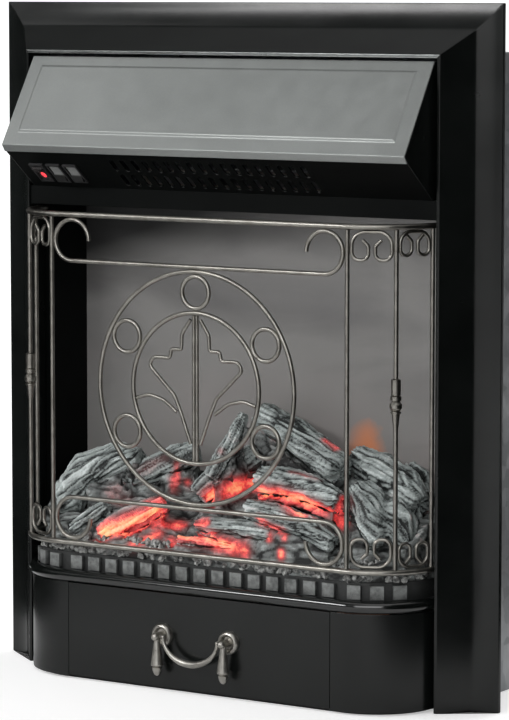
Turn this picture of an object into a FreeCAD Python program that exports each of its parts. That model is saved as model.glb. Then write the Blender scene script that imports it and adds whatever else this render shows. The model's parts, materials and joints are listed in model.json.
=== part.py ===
import FreeCAD
import Part
import math
import os

# Electric fireplace insert. X runs to the right, Y back into the wall, Z up.
# The origin is on the floor, at the middle of the plane where the surround meets the wall.

V = FreeCAD.Vector

# Surround
surround_width = 520.0
surround_height = 605.0
member_width = 43.0
lip_width = 3.0
member_depth = 36.0
rim_depth = 4.5
knee_in = 24.0
knee_depth = 13.0
back_flange = 14.0
sheet = 1.2
return_end = 2.0

# Casing behind the wall plane
casing_depth = 140.0
casing_lap = 20.0
casing_flange = 12.0
floor_sheet = 2.5
wall_hole_radius = 2.5
wall_hole_span_x = 340.0
wall_hole_span_z = 360.0
wall_hole_centre_z = 270.0
screw_radius = 1.5
screw_clearance = 0.1
screw_head_radius = 3.4
screw_head = 2.0
gland_radius = 8.0
gland_bore = 4.0
gland_in = 55.2
gland_z = 45.0

# Bowed base
bow_front = 82.0
bow_side_gap = 4.0
bow_radius = 64.0
apron_sheet = 1.5
apron_top = 88.0
bead_radius = 5.5
bead_set_back = 2.5
shelf_sheet = 1.5
shelf_above_bead = 2.5
seam_in = 7.5
seam_gap = 0.5

# Drawer and its drop handle
drawer_wall = 1.2
drawer_side = 14.5
drawer_depth = 95.0
drawer_height = 38.0
drawer_bottom = 10.0
runner_gap = 0.5
handle_half_span = 35.0
handle_z = 50.5
post_length = 12.4
post_radius = 3.3
post_end_radius = 3.6
rosette_radius = 10.4
pin_set_back = 2.9
pin_radius = 1.2
pin_past = 1.0
pivot_clearance = 0.05
bail_drop = 21.7
bail_in = 6.5
bail_end_radius = 1.5
bail_middle_radius = 3.2
pendant_length = 35.0
pendant_radius = 5.6

# Hood and its underside
hood_sheet = 1.5
hood_gap = 2.5
hood_set_back = 3.0
hood_drop = 78.5
hood_lip_in = 4.5
hood_lip_drop = 6.5
panel_set_back = 2.0
panel_drop = 32.5
lintel_height = 16.5
lintel_foot = 20.0
emboss_margin = 13.0
emboss_height = 1.4
slot_pitch = 11.8
slot_count = 18
slot_width = 5.0
slot_length = 16.0

# Rocker switches
switch_in = 41.5
switch_pitch = 18.5
bezel_width = 15.0
bezel_length = 26.0
bezel_height = 2.0
rocker_width = 11.0
rocker_length = 21.0
rocker_gap = 0.5
switch_depth = 18.0
rocker_pin_radius = 1.0
rocker_pivot_depth = 2.0
rocker_tilt = 9.0

# Wire guard
rail_radius = 2.5
wire_radius = 2.0
leaf_wire_radius = 1.6
guard_radius = 60.0
rail_below_lintel = 4.5
rail_above_shelf = 26.5
rail_end_y = -15.0
upright_past = 4.7
baluster_past = 42.5
outer_upright_angle = 80.0
outer_ring_radius = 101.9
inner_ring_radius = 66.0
sleeve_drop = 23.0

# Firebox
screen_y = 40.0
screen_thickness = 3.0
liner_gap = 9.0
liner_front = -12.0
bed_rise = 84.0
strip_height = 16.0
strip_pitch = 19.0
strip_block = 12.0

# Flame effect
spindle_y = 92.0
spindle_rise = 54.5
spindle_radius = 2.5
spindle_in = 39.2
flag_width = 26.0
flag_gap = 5.0
flag_reach = 21.0
mask_y = 55.0
mask_height = 247.5
lamp_y = 10.0
lamp_drop = 22.0

# Blower
impeller_radius = 30.0
impeller_half = 118.0
impeller_y = 72.0
impeller_rise = 69.1
impeller_shaft = 3.0

# Derived levels
opening_half = surround_width / 2 - member_width - lip_width
opening_top = surround_height - member_width - lip_width
casing_half = opening_half + sheet
casing_top = opening_top + sheet
bow_half_width = opening_half - bow_side_gap
liner_half = opening_half - liner_gap
gland_x = casing_half - gland_in
seam_x = bow_half_width - bow_radius - seam_in
drawer_half_width = seam_x - drawer_side
bail_half_width = handle_half_span - bail_in
hood_top_y = -member_depth + hood_set_back
hood_top_z = opening_top - hood_gap
hood_front_y = -bow_front
hood_front_z = hood_top_z - hood_drop
hood_lip_y = hood_front_y + hood_lip_in
hood_lip_z = hood_front_z - hood_lip_drop
panel_back_y = -member_depth + panel_set_back
panel_back_z = hood_lip_z - panel_drop
lintel_bottom = panel_back_z - lintel_height
switch_x = -bow_half_width + switch_in
cover_y = casing_depth - sheet
inner_back = cover_y - sheet
bead_z = apron_top + bead_radius
bead_front = bow_front - bead_set_back
shelf_z = bead_z + shelf_above_bead
shelf_top = shelf_z + shelf_sheet
bead_chord = math.sqrt(bead_radius ** 2 - shelf_above_bead ** 2)
shelf_inset = bow_front - bead_front + bead_chord + 0.1
ceiling_z = lintel_bottom + sheet
ceiling_top = ceiling_z + sheet
impeller_z = ceiling_top + impeller_rise
spindle_z = shelf_top + spindle_rise
spindle_half = casing_half - spindle_in
lamp_z = shelf_z - lamp_drop
rail_top_z = lintel_bottom - rail_below_lintel
rail_bottom_z = shelf_top + rail_above_shelf
guard_mid_z = (rail_top_z + rail_bottom_z) / 2
upright_x = bow_half_width - guard_radius + upright_past
baluster_x = bow_half_width - guard_radius + baluster_past
scroll_reach = outer_ring_radius + 2 * wire_radius
hook_radius = (rail_top_z - rail_radius - wire_radius - guard_mid_z - scroll_reach) / 2
hinge_y = -bow_front - post_length + pin_set_back
face_y = -bow_front
bow_back = liner_front - 1.0


def save(name, shape):
    shape.exportStep(os.path.join("parts", name + ".step"))


def box(x0, x1, y0, y1, z0, z1):
    return Part.makeBox(x1 - x0, y1 - y0, z1 - z0, V(x0, y0, z0))


def loop(points):
    return Part.makePolygon(points + [points[0]])


def prism_x(points, x0, x1):
    face = Part.Face(loop([V(x0, y, z) for y, z in points]))
    return face.extrude(V(x1 - x0, 0, 0))


def prism_y(points, y0, y1):
    face = Part.Face(loop([V(x, y0, z) for x, z in points]))
    return face.extrude(V(0, y1 - y0, 0))


def joined(shapes):
    whole = shapes[0].multiFuse(shapes[1:])
    refined = whole.removeSplitter()
    return refined if refined.isValid() else whole


def mirrored(shape):
    return shape.mirror(V(0, 0, 0), V(1, 0, 0))


def rod(start, end, radius):
    run = end - start
    return Part.makeCylinder(radius, run.Length, start, run)


def unit(vector):
    return V(vector) * (1.0 / vector.Length)


def bent_section(points, thickness):
    # Closed outline of a folded sheet: the points are one face, the sheet lies to their left.
    inner = []
    count = len(points)
    for i in range(count):
        y, z = points[i]
        turns = []
        if i > 0:
            turns.append((y - points[i - 1][0], z - points[i - 1][1]))
        if i < count - 1:
            turns.append((points[i + 1][0] - y, points[i + 1][1] - z))
        normals = [(-b / math.hypot(a, b), a / math.hypot(a, b)) for a, b in turns]
        nx = sum(n[0] for n in normals) / len(normals)
        nz = sum(n[1] for n in normals) / len(normals)
        scale = thickness / (nx * nx + nz * nz)
        inner.append((y + nx * scale, z + nz * scale))
    return list(points) + inner[::-1], inner


def rounded_path(points, radii):
    # Straight runs joined by tangent arcs at the inner points.
    edges = []
    last = points[0]
    for i in range(1, len(points) - 1):
        corner = points[i]
        back = unit(points[i - 1] - corner)
        ahead = unit(points[i + 1] - corner)
        half = 0.5 * math.acos(max(-1.0, min(1.0, back.dot(ahead))))
        room = 0.49 * min((points[i - 1] - corner).Length, (points[i + 1] - corner).Length)
        reach = min(radii[i - 1] / math.tan(half), room)
        start = corner + back * reach
        end = corner + ahead * reach
        bisector = unit(back + ahead)
        middle = corner + bisector * (reach / math.cos(half) - reach * math.tan(half))
        if (start - last).Length > 1e-6:
            edges.append(Part.makeLine(last, start))
        edges.append(Part.Arc(start, middle, end).toShape())
        last = end
    if (points[-1] - last).Length > 1e-6:
        edges.append(Part.makeLine(last, points[-1]))
    return edges


def tube(edges, radius):
    path = Part.Wire(edges)
    first = path.OrderedEdges[0]
    at = first.firstVertex(True).Point
    heading = first.tangentAt(first.FirstParameter)
    if first.Orientation == "Reversed":
        heading = first.tangentAt(first.LastParameter) * -1
    section = Part.Wire(Part.makeCircle(radius, at, heading))
    sweep = Part.BRepOffsetAPI.MakePipeShell(path)
    sweep.add(section)
    sweep.build()
    sweep.makeSolid()
    return sweep.shape()


def bow_edges(half_width, front, radius, back, z):
    # Plan of the bowed front: flat middle, quarter-round corners, straight sides.
    cx = half_width - radius
    cy = -front + radius
    turn = radius * math.sqrt(0.5)
    a, b = V(-half_width, back, z), V(-half_width, cy, z)
    c, d = V(-cx, -front, z), V(cx, -front, z)
    e, f = V(half_width, cy, z), V(half_width, back, z)
    left = Part.Arc(b, V(-cx - turn, cy - turn, z), c).toShape()
    right = Part.Arc(d, V(cx + turn, cy - turn, z), e).toShape()
    return [Part.makeLine(a, b), left, Part.makeLine(c, d), right, Part.makeLine(e, f)]


def bow_solid(inset, back, z0, z1):
    edges = bow_edges(bow_half_width - inset, bow_front - inset, bow_radius - inset, back, z0)
    half = bow_half_width - inset
    edges.append(Part.makeLine(V(half, back, z0), V(-half, back, z0)))
    return Part.Face(Part.Wire(edges)).extrude(V(0, 0, z1 - z0))


def moulding_face(place):
    # Section of the surround: e inwards from the outer edge, g forwards from the wall.
    rise = knee_depth - rim_depth
    mid = (knee_in * 0.54, rim_depth + rise * 0.36)
    flare = Part.Arc(V(0, rim_depth, 0), V(mid[0], mid[1], 0), V(knee_in, knee_depth, 0))
    circle = flare.toShape().Curve
    centre = circle.Center
    outer = circle.Radius
    inner = outer + sheet

    def on_inner(e):
        return (e, centre.y - math.sqrt(inner ** 2 - (e - centre.x) ** 2))

    slope = (member_width - knee_in, member_depth - knee_depth)
    length = math.hypot(slope[0], slope[1])
    step = (slope[1] / length * sheet, -slope[0] / length * sheet)
    low = (knee_in + step[0], knee_depth + step[1])
    lift = member_depth - sheet - low[1]
    high = (low[0] + slope[0] * lift / slope[1], member_depth - sheet)
    edge = member_width + lip_width
    turn = on_inner(knee_in * 0.97)
    half_way = on_inner((sheet + turn[0]) / 2)
    start = on_inner(sheet)
    runs = [[(back_flange, 0), (0, 0), (0, rim_depth)],
            [(knee_in, knee_depth), (member_width, member_depth), (edge, member_depth),
             (edge, return_end), (edge - sheet, return_end), (edge - sheet, member_depth - sheet),
             high, low, turn],
            [start, (sheet, sheet), (back_flange, sheet), (back_flange, 0)]]
    edges = []
    for run in runs:
        for p, q in zip(run, run[1:]):
            edges.append(Part.makeLine(place(*p), place(*q)))
    edges.append(Part.Arc(place(0, rim_depth), place(*mid), place(knee_in, knee_depth)).toShape())
    edges.append(Part.Arc(place(*turn), place(*half_way), place(*start)).toShape())
    return Part.Face(Part.Wire(Part.__sortEdges__(edges)))


def surround():
    half = surround_width / 2
    reach = member_width + lip_width + 4
    top = moulding_face(lambda e, g: V(-half, -g, surround_height - e))
    rail = top.extrude(V(surround_width, 0, 0))
    trim = prism_y([(-half, surround_height), (half, surround_height),
                    (half - reach, surround_height - reach),
                    (reach - half, surround_height - reach)], -member_depth - 1, 1)
    side = moulding_face(lambda e, g: V(-half + e, -g, 0)).extrude(V(0, 0, surround_height))
    mitre = prism_y([(-half, 0), (-half, surround_height),
                     (reach - half, surround_height - reach), (reach - half, 0)],
                    -member_depth - 1, 1)
    jamb = side.common(mitre)
    save("surround_top_rail", rail.common(trim))
    save("surround_left_jamb", jamb)
    save("surround_right_jamb", mirrored(jamb))


def cover_screw_places():
    x = casing_half - casing_flange / 2
    top = casing_top - casing_flange / 2
    places = []
    for level in (0.08, 0.36, 0.64):
        places += [(-x, top * level), (x, top * level)]
    for across in (-0.8, 0.0, 0.8):
        places.append((x * across, top))
    return places


def casing():
    outer = casing_half + sheet
    wrap = box(-outer, outer, -casing_lap - return_end, cover_y, 0, casing_top + sheet)
    wrap = wrap.cut(box(-casing_half, casing_half, -200, inner_back, -1, casing_top))
    hole = casing_half - casing_flange
    wrap = wrap.cut(box(-hole, hole, -200, 400, -1, casing_top - casing_flange))
    cover = box(-outer, outer, cover_y, casing_depth, 0, casing_top + sheet)
    bore = screw_radius + screw_clearance
    screws = []
    for x, z in cover_screw_places():
        drill = rod(V(x, inner_back - 5, z), V(x, casing_depth + 5, z), bore)
        wrap = wrap.cut(drill)
        cover = cover.cut(drill)
        shank = rod(V(x, inner_back - 4, z), V(x, casing_depth, z), screw_radius)
        head = rod(V(x, casing_depth, z), V(x, casing_depth + screw_head, z), screw_head_radius)
        screws.append(shank.fuse(head).removeSplitter())
    for sx in (-0.5, 0.5):
        for sz in (-0.5, 0.5):
            x = sx * wall_hole_span_x
            z = wall_hole_centre_z + sz * wall_hole_span_z
            cover = cover.cut(rod(V(x, inner_back, z), V(x, casing_depth + 1, z), wall_hole_radius))
    vents = []
    for row in range(6):
        z = impeller_z - 25 + row * 10
        for x in (-90, 0, 90):
            vents.append(box(x - 35, x + 35, cover_y - 1, casing_depth + 1, z - 2, z + 2))
    cover = cover.cut(Part.makeCompound(vents))
    port = rod(V(gland_x, cover_y - 1, gland_z), V(gland_x, casing_depth + 1, gland_z), gland_radius + 0.1)
    cover = cover.cut(port)
    floor = box(-casing_half, casing_half, 0, inner_back, 0, floor_sheet)
    floor = joined([floor, bow_solid(8, 0, 0, floor_sheet)])
    save("casing_wrap", wrap)
    save("rear_cover", cover)
    save("cover_screws", Part.makeCompound(screws))
    save("casing_floor", floor)


def cable_gland():
    y = casing_depth
    collar = rod(V(gland_x, y, gland_z), V(gland_x, y + 6, gland_z), gland_radius * 1.4)
    nose = Part.makeCone(gland_radius, gland_radius * 0.75, 8, V(gland_x, y + 6, gland_z), V(0, 1, 0))
    shank = rod(V(gland_x, cover_y - 8, gland_z), V(gland_x, y, gland_z), gland_radius)
    nut = rod(V(gland_x, cover_y - 6, gland_z), V(gland_x, cover_y, gland_z), gland_radius * 1.35)
    bore = rod(V(gland_x, cover_y - 20, gland_z), V(gland_x, y + 20, gland_z), gland_bore)
    save("cable_gland", joined([collar, nose, shank, nut]).cut(bore))


def header():
    narrow = opening_half - 0.3
    strip, _ = bent_section([(panel_back_y, panel_back_z), (panel_back_y, lintel_bottom),
                             (panel_back_y + lintel_foot, lintel_bottom)], sheet)
    save("lintel", prism_x(strip, -opening_half, opening_half))
    ceiling = box(-casing_half, casing_half, -return_end + 0.5, inner_back, ceiling_z, ceiling_top)
    front = box(-narrow, narrow, panel_back_y + sheet, 0, ceiling_z, ceiling_top)
    save("firebox_ceiling", joined([ceiling, front]))


def hood_lines():
    outline = [(hood_lip_y, hood_lip_z), (hood_front_y, hood_front_z), (hood_top_y, hood_top_z)]
    section, inner = bent_section(outline[::-1], hood_sheet)
    return section, inner


def panel_frame():
    # Origin at the front edge of the underside panel, with its slope and outward normal.
    _, inner = hood_lines()
    start = V(0, inner[2][0], inner[2][1])
    end = V(0, panel_back_y, panel_back_z)
    slope = unit(end - start)
    normal = V(0, slope.z, -slope.y)
    return start, end, slope, normal


def panel_block(centre, slope, normal, size_x, size_b, low, high):
    corner = centre - slope * (size_b / 2) + normal * low
    face = Part.Face(loop([corner + V(-size_x / 2, 0, 0), corner + V(size_x / 2, 0, 0),
                           corner + V(size_x / 2, 0, 0) + slope * size_b,
                           corner + V(-size_x / 2, 0, 0) + slope * size_b]))
    return face.extrude(normal * (high - low))


def round_slot(centre, slope, normal, width, length, low, high):
    r = width / 2
    run = length / 2 - r
    across = V(1, 0, 0)
    base = centre + normal * low
    a, b = base - slope * run - across * r, base + slope * run - across * r
    c, d = base + slope * run + across * r, base - slope * run + across * r
    edges = [Part.makeLine(a, b), Part.Arc(b, base + slope * (run + r), c).toShape(),
             Part.makeLine(c, d), Part.Arc(d, base - slope * (run + r), a).toShape()]
    return Part.Face(Part.Wire(edges)).extrude(normal * (high - low))


def switch_centres():
    start, end, slope, normal = panel_frame()
    middle = start + slope * ((end - start).Length * 0.58)
    return [middle + V(switch_x + i * switch_pitch, 0, 0) for i in (-1, 0, 1)]


def hood():
    section, inner = hood_lines()
    plate = prism_x(section, -bow_half_width, bow_half_width)
    top = V(0, hood_top_y, hood_top_z)
    down = unit(V(0, hood_front_y, hood_front_z) - top)
    out = V(0, down.z, -down.y)
    length = (V(0, hood_front_y, hood_front_z) - top).Length
    wires = []
    for grow, lift in ((0, -0.2), (emboss_height * 1.5, emboss_height)):
        half = bow_half_width - emboss_margin - grow
        high = top + down * (emboss_margin * 0.75 + grow) + out * lift
        low = top + down * (length - emboss_margin - grow) + out * lift
        wires.append(loop([high + V(-half, 0, 0), high + V(half, 0, 0),
                           low + V(half, 0, 0), low + V(-half, 0, 0)]))
    pad = Part.makeLoft(wires, True, True)
    save("hood_plate", joined([plate, pad]))

    start, end, slope, normal = panel_frame()
    wall = bow_half_width - sheet
    back = -return_end + 0.2
    outline = inner + [(end.y, end.z), (back + sheet, end.z), (back + sheet, inner[0][1])]
    cheek = prism_x(outline, wall, bow_half_width)
    flange = box(wall, casing_half, back, back + sheet, end.z, inner[0][1])
    cheek = joined([cheek, flange])
    save("hood_cheeks", Part.makeCompound([cheek, mirrored(cheek)]))

    length = (end - start).Length
    panel = panel_block(start + slope * (length / 2), slope, normal, 2 * wall, length, -sheet, 0)
    cuts = []
    for row in (0.33, 0.74):
        for i in range(slot_count):
            x = (i - (slot_count - 1) / 2) * slot_pitch
            centre = start + slope * (length * row) + V(x, 0, 0)
            cuts.append(round_slot(centre, slope, normal, slot_width, slot_length, -5, 5))
    for centre in switch_centres():
        cuts.append(panel_block(centre, slope, normal, bezel_width - 1.8, bezel_length - 2.8, -5, 5))
    save("control_panel", panel.cut(Part.makeCompound(cuts)))


def switches():
    start, end, slope, normal = panel_frame()
    hollow_x = rocker_width + rocker_gap
    hollow_b = rocker_length + rocker_gap
    bodies = []
    names = ("power_rocker", "low_heat_rocker", "high_heat_rocker")
    for i, centre in enumerate(switch_centres()):
        bezel = panel_block(centre, slope, normal, bezel_width, bezel_length, 0, bezel_height)
        can = panel_block(centre, slope, normal, bezel_width - 2, bezel_length - 3, -switch_depth, 0)
        hollow = panel_block(centre, slope, normal, hollow_x, hollow_b, -switch_depth + 4, 5)
        pivot = centre - normal * rocker_pivot_depth
        reach = V(bezel_width / 2 - 1.2, 0, 0)
        bore = rod(pivot - reach, pivot + reach, rocker_pin_radius + pivot_clearance)
        bodies.append(joined([bezel, can]).cut(hollow).cut(bore))

        half = rocker_length / 2 - 0.7
        outline = [(-half, 2.5), (0, 1.0), (half, 2.5), (half - 0.5, -1.5),
                   (3, -5), (-3, -5), (0.5 - half, -1.5)]
        left = centre - V(rocker_width / 2, 0, 0)
        face = Part.Face(loop([left + slope * b + normal * c for b, c in outline]))
        rocker = face.extrude(V(rocker_width, 0, 0))
        pin = V(bezel_width / 2 - 1.4, 0, 0)
        rocker = joined([rocker, rod(pivot - pin, pivot + pin, rocker_pin_radius)])
        tilt = rocker_tilt if i == 0 else -rocker_tilt
        rocker.rotate(pivot, V(1, 0, 0), tilt)
        save(names[i], rocker)
    save("switch_bodies", Part.makeCompound(bodies))


def blower():
    end_x = impeller_half + 5
    bore = impeller_shaft + pivot_clearance
    r = impeller_radius + 6
    y, z = impeller_y, impeller_z
    shells = []
    ring = Part.makeCylinder(r + sheet, 2 * end_x, V(-end_x, y, z), V(1, 0, 0))
    ring = ring.cut(Part.makeCylinder(r, 2 * end_x, V(-end_x, y, z), V(1, 0, 0)))
    mouth = box(-end_x, end_x, y - r - 5, y, z - r - 5, z + r * 0.2)
    intake = box(-end_x, end_x, y, y + r + 5, z - r * 0.3, z + r * 0.6)
    ring = ring.cut(mouth).cut(intake)
    duct = box(-end_x, end_x, y - r - 34, y, z - r - sheet, z - r)
    for side in (-1, 1):
        x0 = end_x if side > 0 else -end_x - sheet
        plate = box(x0, x0 + sheet, y - r - 34, y + r + 4, ceiling_top, z + r + 4)
        plate = plate.cut(rod(V(x0 - 1, y, z), V(x0 + sheet + 1, y, z), bore))
        shells.append(plate)
    save("blower_scroll", joined([ring, duct] + shells))

    discs = [Part.makeCylinder(impeller_radius, 1.5, V(x, y, z), V(1, 0, 0))
             for x in (-impeller_half, -0.75, impeller_half - 1.5)]
    blades = []
    for i in range(18):
        blade = box(-impeller_half + 1, impeller_half - 1, y - 0.5, y + 0.5,
                    z + impeller_radius - 8.5, z + impeller_radius - 0.5)
        blade.rotate(V(0, y, z + impeller_radius - 4), V(1, 0, 0), 28)
        blade.rotate(V(0, y, z), V(1, 0, 0), i * 20)
        blades.append(blade)
    shaft = rod(V(-end_x - 6, y, z), V(end_x + 26, y, z), impeller_shaft)
    save("blower_impeller", joined(discs + blades + [shaft]))

    start = end_x + sheet
    motor = rod(V(start, y, z), V(start + 36, y, z), 23)
    boss = rod(V(start + 36, y, z), V(start + 42, y, z), 9)
    motor = joined([motor, boss]).cut(rod(V(start - 1, y, z), V(start + 30, y, z), bore))
    save("blower_motor", motor)

    tall = z - r - sheet - 2
    frame = box(-end_x + 2, end_x - 2, y - r - 30, y - r - 12, ceiling_top, tall)
    frame = frame.cut(box(-end_x + 8, end_x - 8, y - r - 40, y - r, ceiling_top + 5, tall - 5))
    bars = []
    for i in range(int((tall - ceiling_top - 14) / 7)):
        low = ceiling_top + 8 + i * 7
        bars.append(box(-end_x + 5, end_x - 5, y - r - 26, y - r - 16, low, low + 2))
    save("heater_element", joined([frame] + bars))


def firebox():
    outline = [(liner_half, screen_y + screen_thickness), (liner_half, liner_front),
               (opening_half - 0.3, liner_front)]
    section, _ = bent_section(outline, sheet)
    liner = Part.Face(loop([V(x, y, shelf_top) for x, y in section]))
    liner = liner.extrude(V(0, 0, lintel_bottom - shelf_top))
    rise = bent_section(outline[:2], sheet)[0]
    crown = Part.Face(loop([V(x, y, lintel_bottom) for x, y in rise]))
    crown = crown.extrude(V(0, 0, ceiling_z - lintel_bottom))
    crown = crown.cut(box(0, 400, -100, panel_back_y + lintel_foot + 0.5, 0, 600))
    liner = joined([liner, crown])
    save("firebox_liners", Part.makeCompound([liner, mirrored(liner)]))
    screen = box(-liner_half, liner_half, screen_y, screen_y + screen_thickness, shelf_top, ceiling_z)
    save("flame_screen", screen)

    half = spindle_half + 4
    mask = box(-half, half, mask_y, mask_y + sheet, shelf_top, shelf_top + mask_height)
    tongues = []
    for i in range(9):
        x = (i - 4) * half * 0.21
        tip = 0.82 - 0.09 * ((i * 5) % 4)
        outline = [(-11, 0.31), (-6, 0.41), (-12, 0.51), (-2, tip), (4, 0.57), (2, 0.47), (9, 0.37)]
        tongues.append(prism_y([(x + s, shelf_top + mask_height * t) for s, t in outline],
                               mask_y - 1, mask_y + sheet + 1))
    save("flame_mask", mask.cut(Part.makeCompound(tongues)))

    shelf = joined([box(-casing_half, casing_half, 0, inner_back, shelf_z, shelf_top),
                    bow_solid(shelf_inset, 0, shelf_z, shelf_top)])
    shelf = shelf.cut(box(-150, 150, -50, 25, shelf_z - 1, shelf_top + 1))
    shelf = shelf.cut(box(-150, 150, spindle_y - 20, spindle_y + 28, shelf_z - 1, shelf_top + 1))
    save("hearth_shelf", shelf)


def grate_strip():
    inset = shelf_inset + 1.5
    band_top = shelf_top + strip_height
    band = bow_solid(inset, bow_back, shelf_top, band_top).cut(bow_solid(inset + 2.5, 0, 0, 400))
    low = bead_z + bead_radius + 0.5
    blocks = []
    count = int((bow_half_width - bow_radius) / strip_pitch)
    for i in range(-count, count + 1):
        x = i * strip_pitch
        blocks.append(box(x - strip_block / 2, x + strip_block / 2, -bow_front + inset - 4,
                          -bow_front + inset + 1, low, band_top - 2))
    cx = bow_half_width - bow_radius
    cy = -bow_front + bow_radius
    step = math.degrees(strip_pitch / (bow_radius - inset))
    for side in (-1, 1):
        for k in (1, 2, 3):
            block = box(cx - strip_block / 2, cx + strip_block / 2, -bow_front + inset - 4,
                        -bow_front + inset + 1, low, band_top - 2)
            block.rotate(V(cx, cy, 0), V(0, 0, 1), k * step - step * 0.4)
            blocks.append(block if side > 0 else mirrored(block))
    save("grate_strip", joined([band] + blocks))


def log_shape(points, radii, sides, seed):
    # A knotty branch: irregular rings along a bent axis, joined by flat bark faces.
    rings = []
    count = len(points)
    for i in range(count):
        before = points[max(i - 1, 0)]
        after = points[min(i + 1, count - 1)]
        axis = unit(after - before)
        across = unit(axis.cross(V(0.2, 1, 0.35)))
        lift = axis.cross(across)
        ring = []
        for k in range(sides):
            angle = 2 * math.pi * k / sides
            bump = 1 + 0.10 * math.sin(2.7 * k + seed + 0.9 * i) + 0.05 * math.cos(4.1 * k + 2 * seed)
            r = radii[i] * bump
            ring.append(points[i] + across * (r * math.cos(angle)) + lift * (r * math.sin(angle)))
        rings.append(loop(ring))
    return Part.makeLoft(rings, True, True)


def bed_point(x, y, z):
    # Places on the fuel bed follow the base's width, its depth and the shelf's level.
    across = x * bow_half_width / 210.0
    along = screen_y - (40.0 - y) * (bow_front + screen_y) / 122.0
    return V(across, along, shelf_top + z)


def ember_bank(axis, radii):
    # A bank of embers that carries a log along its whole length.
    rings = []
    for i, (x, y, z) in enumerate(axis):
        before = axis[max(i - 1, 0)]
        after = axis[min(i + 1, len(axis) - 1)]
        across = unit(V(before[1] - after[1], after[0] - before[0], 0))
        foot = bed_point(x, y, 1)
        top = bed_point(x, y, z - 0.4 * radii[i])
        waist = (foot + top * 2) * (1 / 3)
        left, right = (radii[i] * (1 + 0.2 * math.sin(x * turn)) for turn in (1.3, 2.1))
        slope = ((foot, 1.9), (waist, 1.35), (top, 0.8))
        ring = [place - across * left * wide for place, wide in slope]
        ring += [place + across * right * wide for place, wide in reversed(slope)]
        rings.append(loop(ring))
    return Part.makeLoft(rings, True, True)


def fuel_bed():
    logs = {
        "left_log": [([(-116, 2, 94), (-146, 0, 88), (-170, -8, 79), (-178, -20, 64), (-171, -36, 45)],
                      [12, 18, 20, 18, 12])],
        "long_log": [([(3, 20, 140), (34, 11, 131), (73, -3, 116), (110, -18, 102)], [14, 16, 17, 14])],
        "right_log": [([(103, 18, 108), (131, 8, 100), (162, -4, 87), (183, -10, 73)], [14, 19, 20, 15])],
        "right_stumps": [([(136, -27, 92), (146, -34, 78), (158, -44, 62), (165, -52, 45)],
                          [14, 16, 13, 8]),
                         ([(163, -18, 77), (174, -25, 61), (180, -31, 43)], [15, 16, 11])],
        "centre_branch": [([(-17, -34, 88), (-7, -24, 113), (-1, -16, 131), (1, -8, 145)],
                           [9, 9, 8, 6])],
        "centre_log": [([(-32, -32, 70), (-21, -20, 83), (-8, -6, 97), (6, 8, 107)], [12, 14, 14, 12])],
        "lower_log": [([(32, -28, 91), (65, -33, 90), (97, -40, 86), (128, -48, 79)],
                       [12, 14, 14, 11])],
        "front_logs": [([(33, -50, 69), (68, -54, 64), (102, -57, 56), (129, -60, 45)],
                        [10, 13, 13, 9]),
                       ([(-15, -58, 51), (20, -60, 52), (51, -61, 50), (73, -62, 46)], [7, 9, 9, 6]),
                       ([(-32, -65, 36), (3, -66, 36), (36, -66, 34)], [4, 5.5, 4])],
        "left_front_logs": [([(-120, -58, 32), (-100, -53, 44), (-79, -46, 54), (-62, -38, 64)],
                             [9, 12, 12, 9]),
                            ([(-158, -50, 31), (-140, -46, 44), (-124, -40, 55)], [7, 10, 8])],
        "rear_logs": [([(-131, -6, 71), (-108, 4, 84), (-85, 12, 96), (-65, 20, 102)], [10, 13, 14, 11]),
                      ([(148, 26, 101), (163, 21, 93), (174, 14, 78)], [10, 14, 12])],
    }
    taken = []
    banks = []
    for name, branches in logs.items():
        solids = []
        for axis, radii in branches:
            body = log_shape([bed_point(*p) for p in axis], radii, 9, len(taken) * 1.7)
            for other in taken:
                if body.BoundBox.intersect(other.BoundBox):
                    body = body.cut(other)
            body = max(body.Solids, key=lambda solid: solid.Volume)
            taken.append(body)
            solids.append(body)
            banks.append(ember_bank(axis, radii))
        save(name, Part.makeCompound(solids))
    inset = shelf_inset + 4.4
    back = screen_y - 0.5
    ridge = bed_point(0, -20, bed_rise * 0.75)
    toe = bed_point(0, -58, bed_rise * 0.42)
    front = bed_point(0, -82, bed_rise * 0.2)
    profile = [(front.y, shelf_top), (back, shelf_top), (back, shelf_top + bed_rise),
               (ridge.y, ridge.z), (toe.y, toe.z), (front.y, front.z)]
    bed = prism_x(profile, -bow_half_width, bow_half_width)
    plan = joined([bow_solid(inset, liner_front + 3, 0, 400),
                   box(-liner_half + 0.5, liner_half - 0.5, liner_front + 2, back, 0, 400)])
    bed = joined([bed] + banks).common(plan)
    for other in taken:
        bed = bed.cut(other)
    save("ember_bed", max(bed.Solids, key=lambda solid: solid.Volume))


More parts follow.
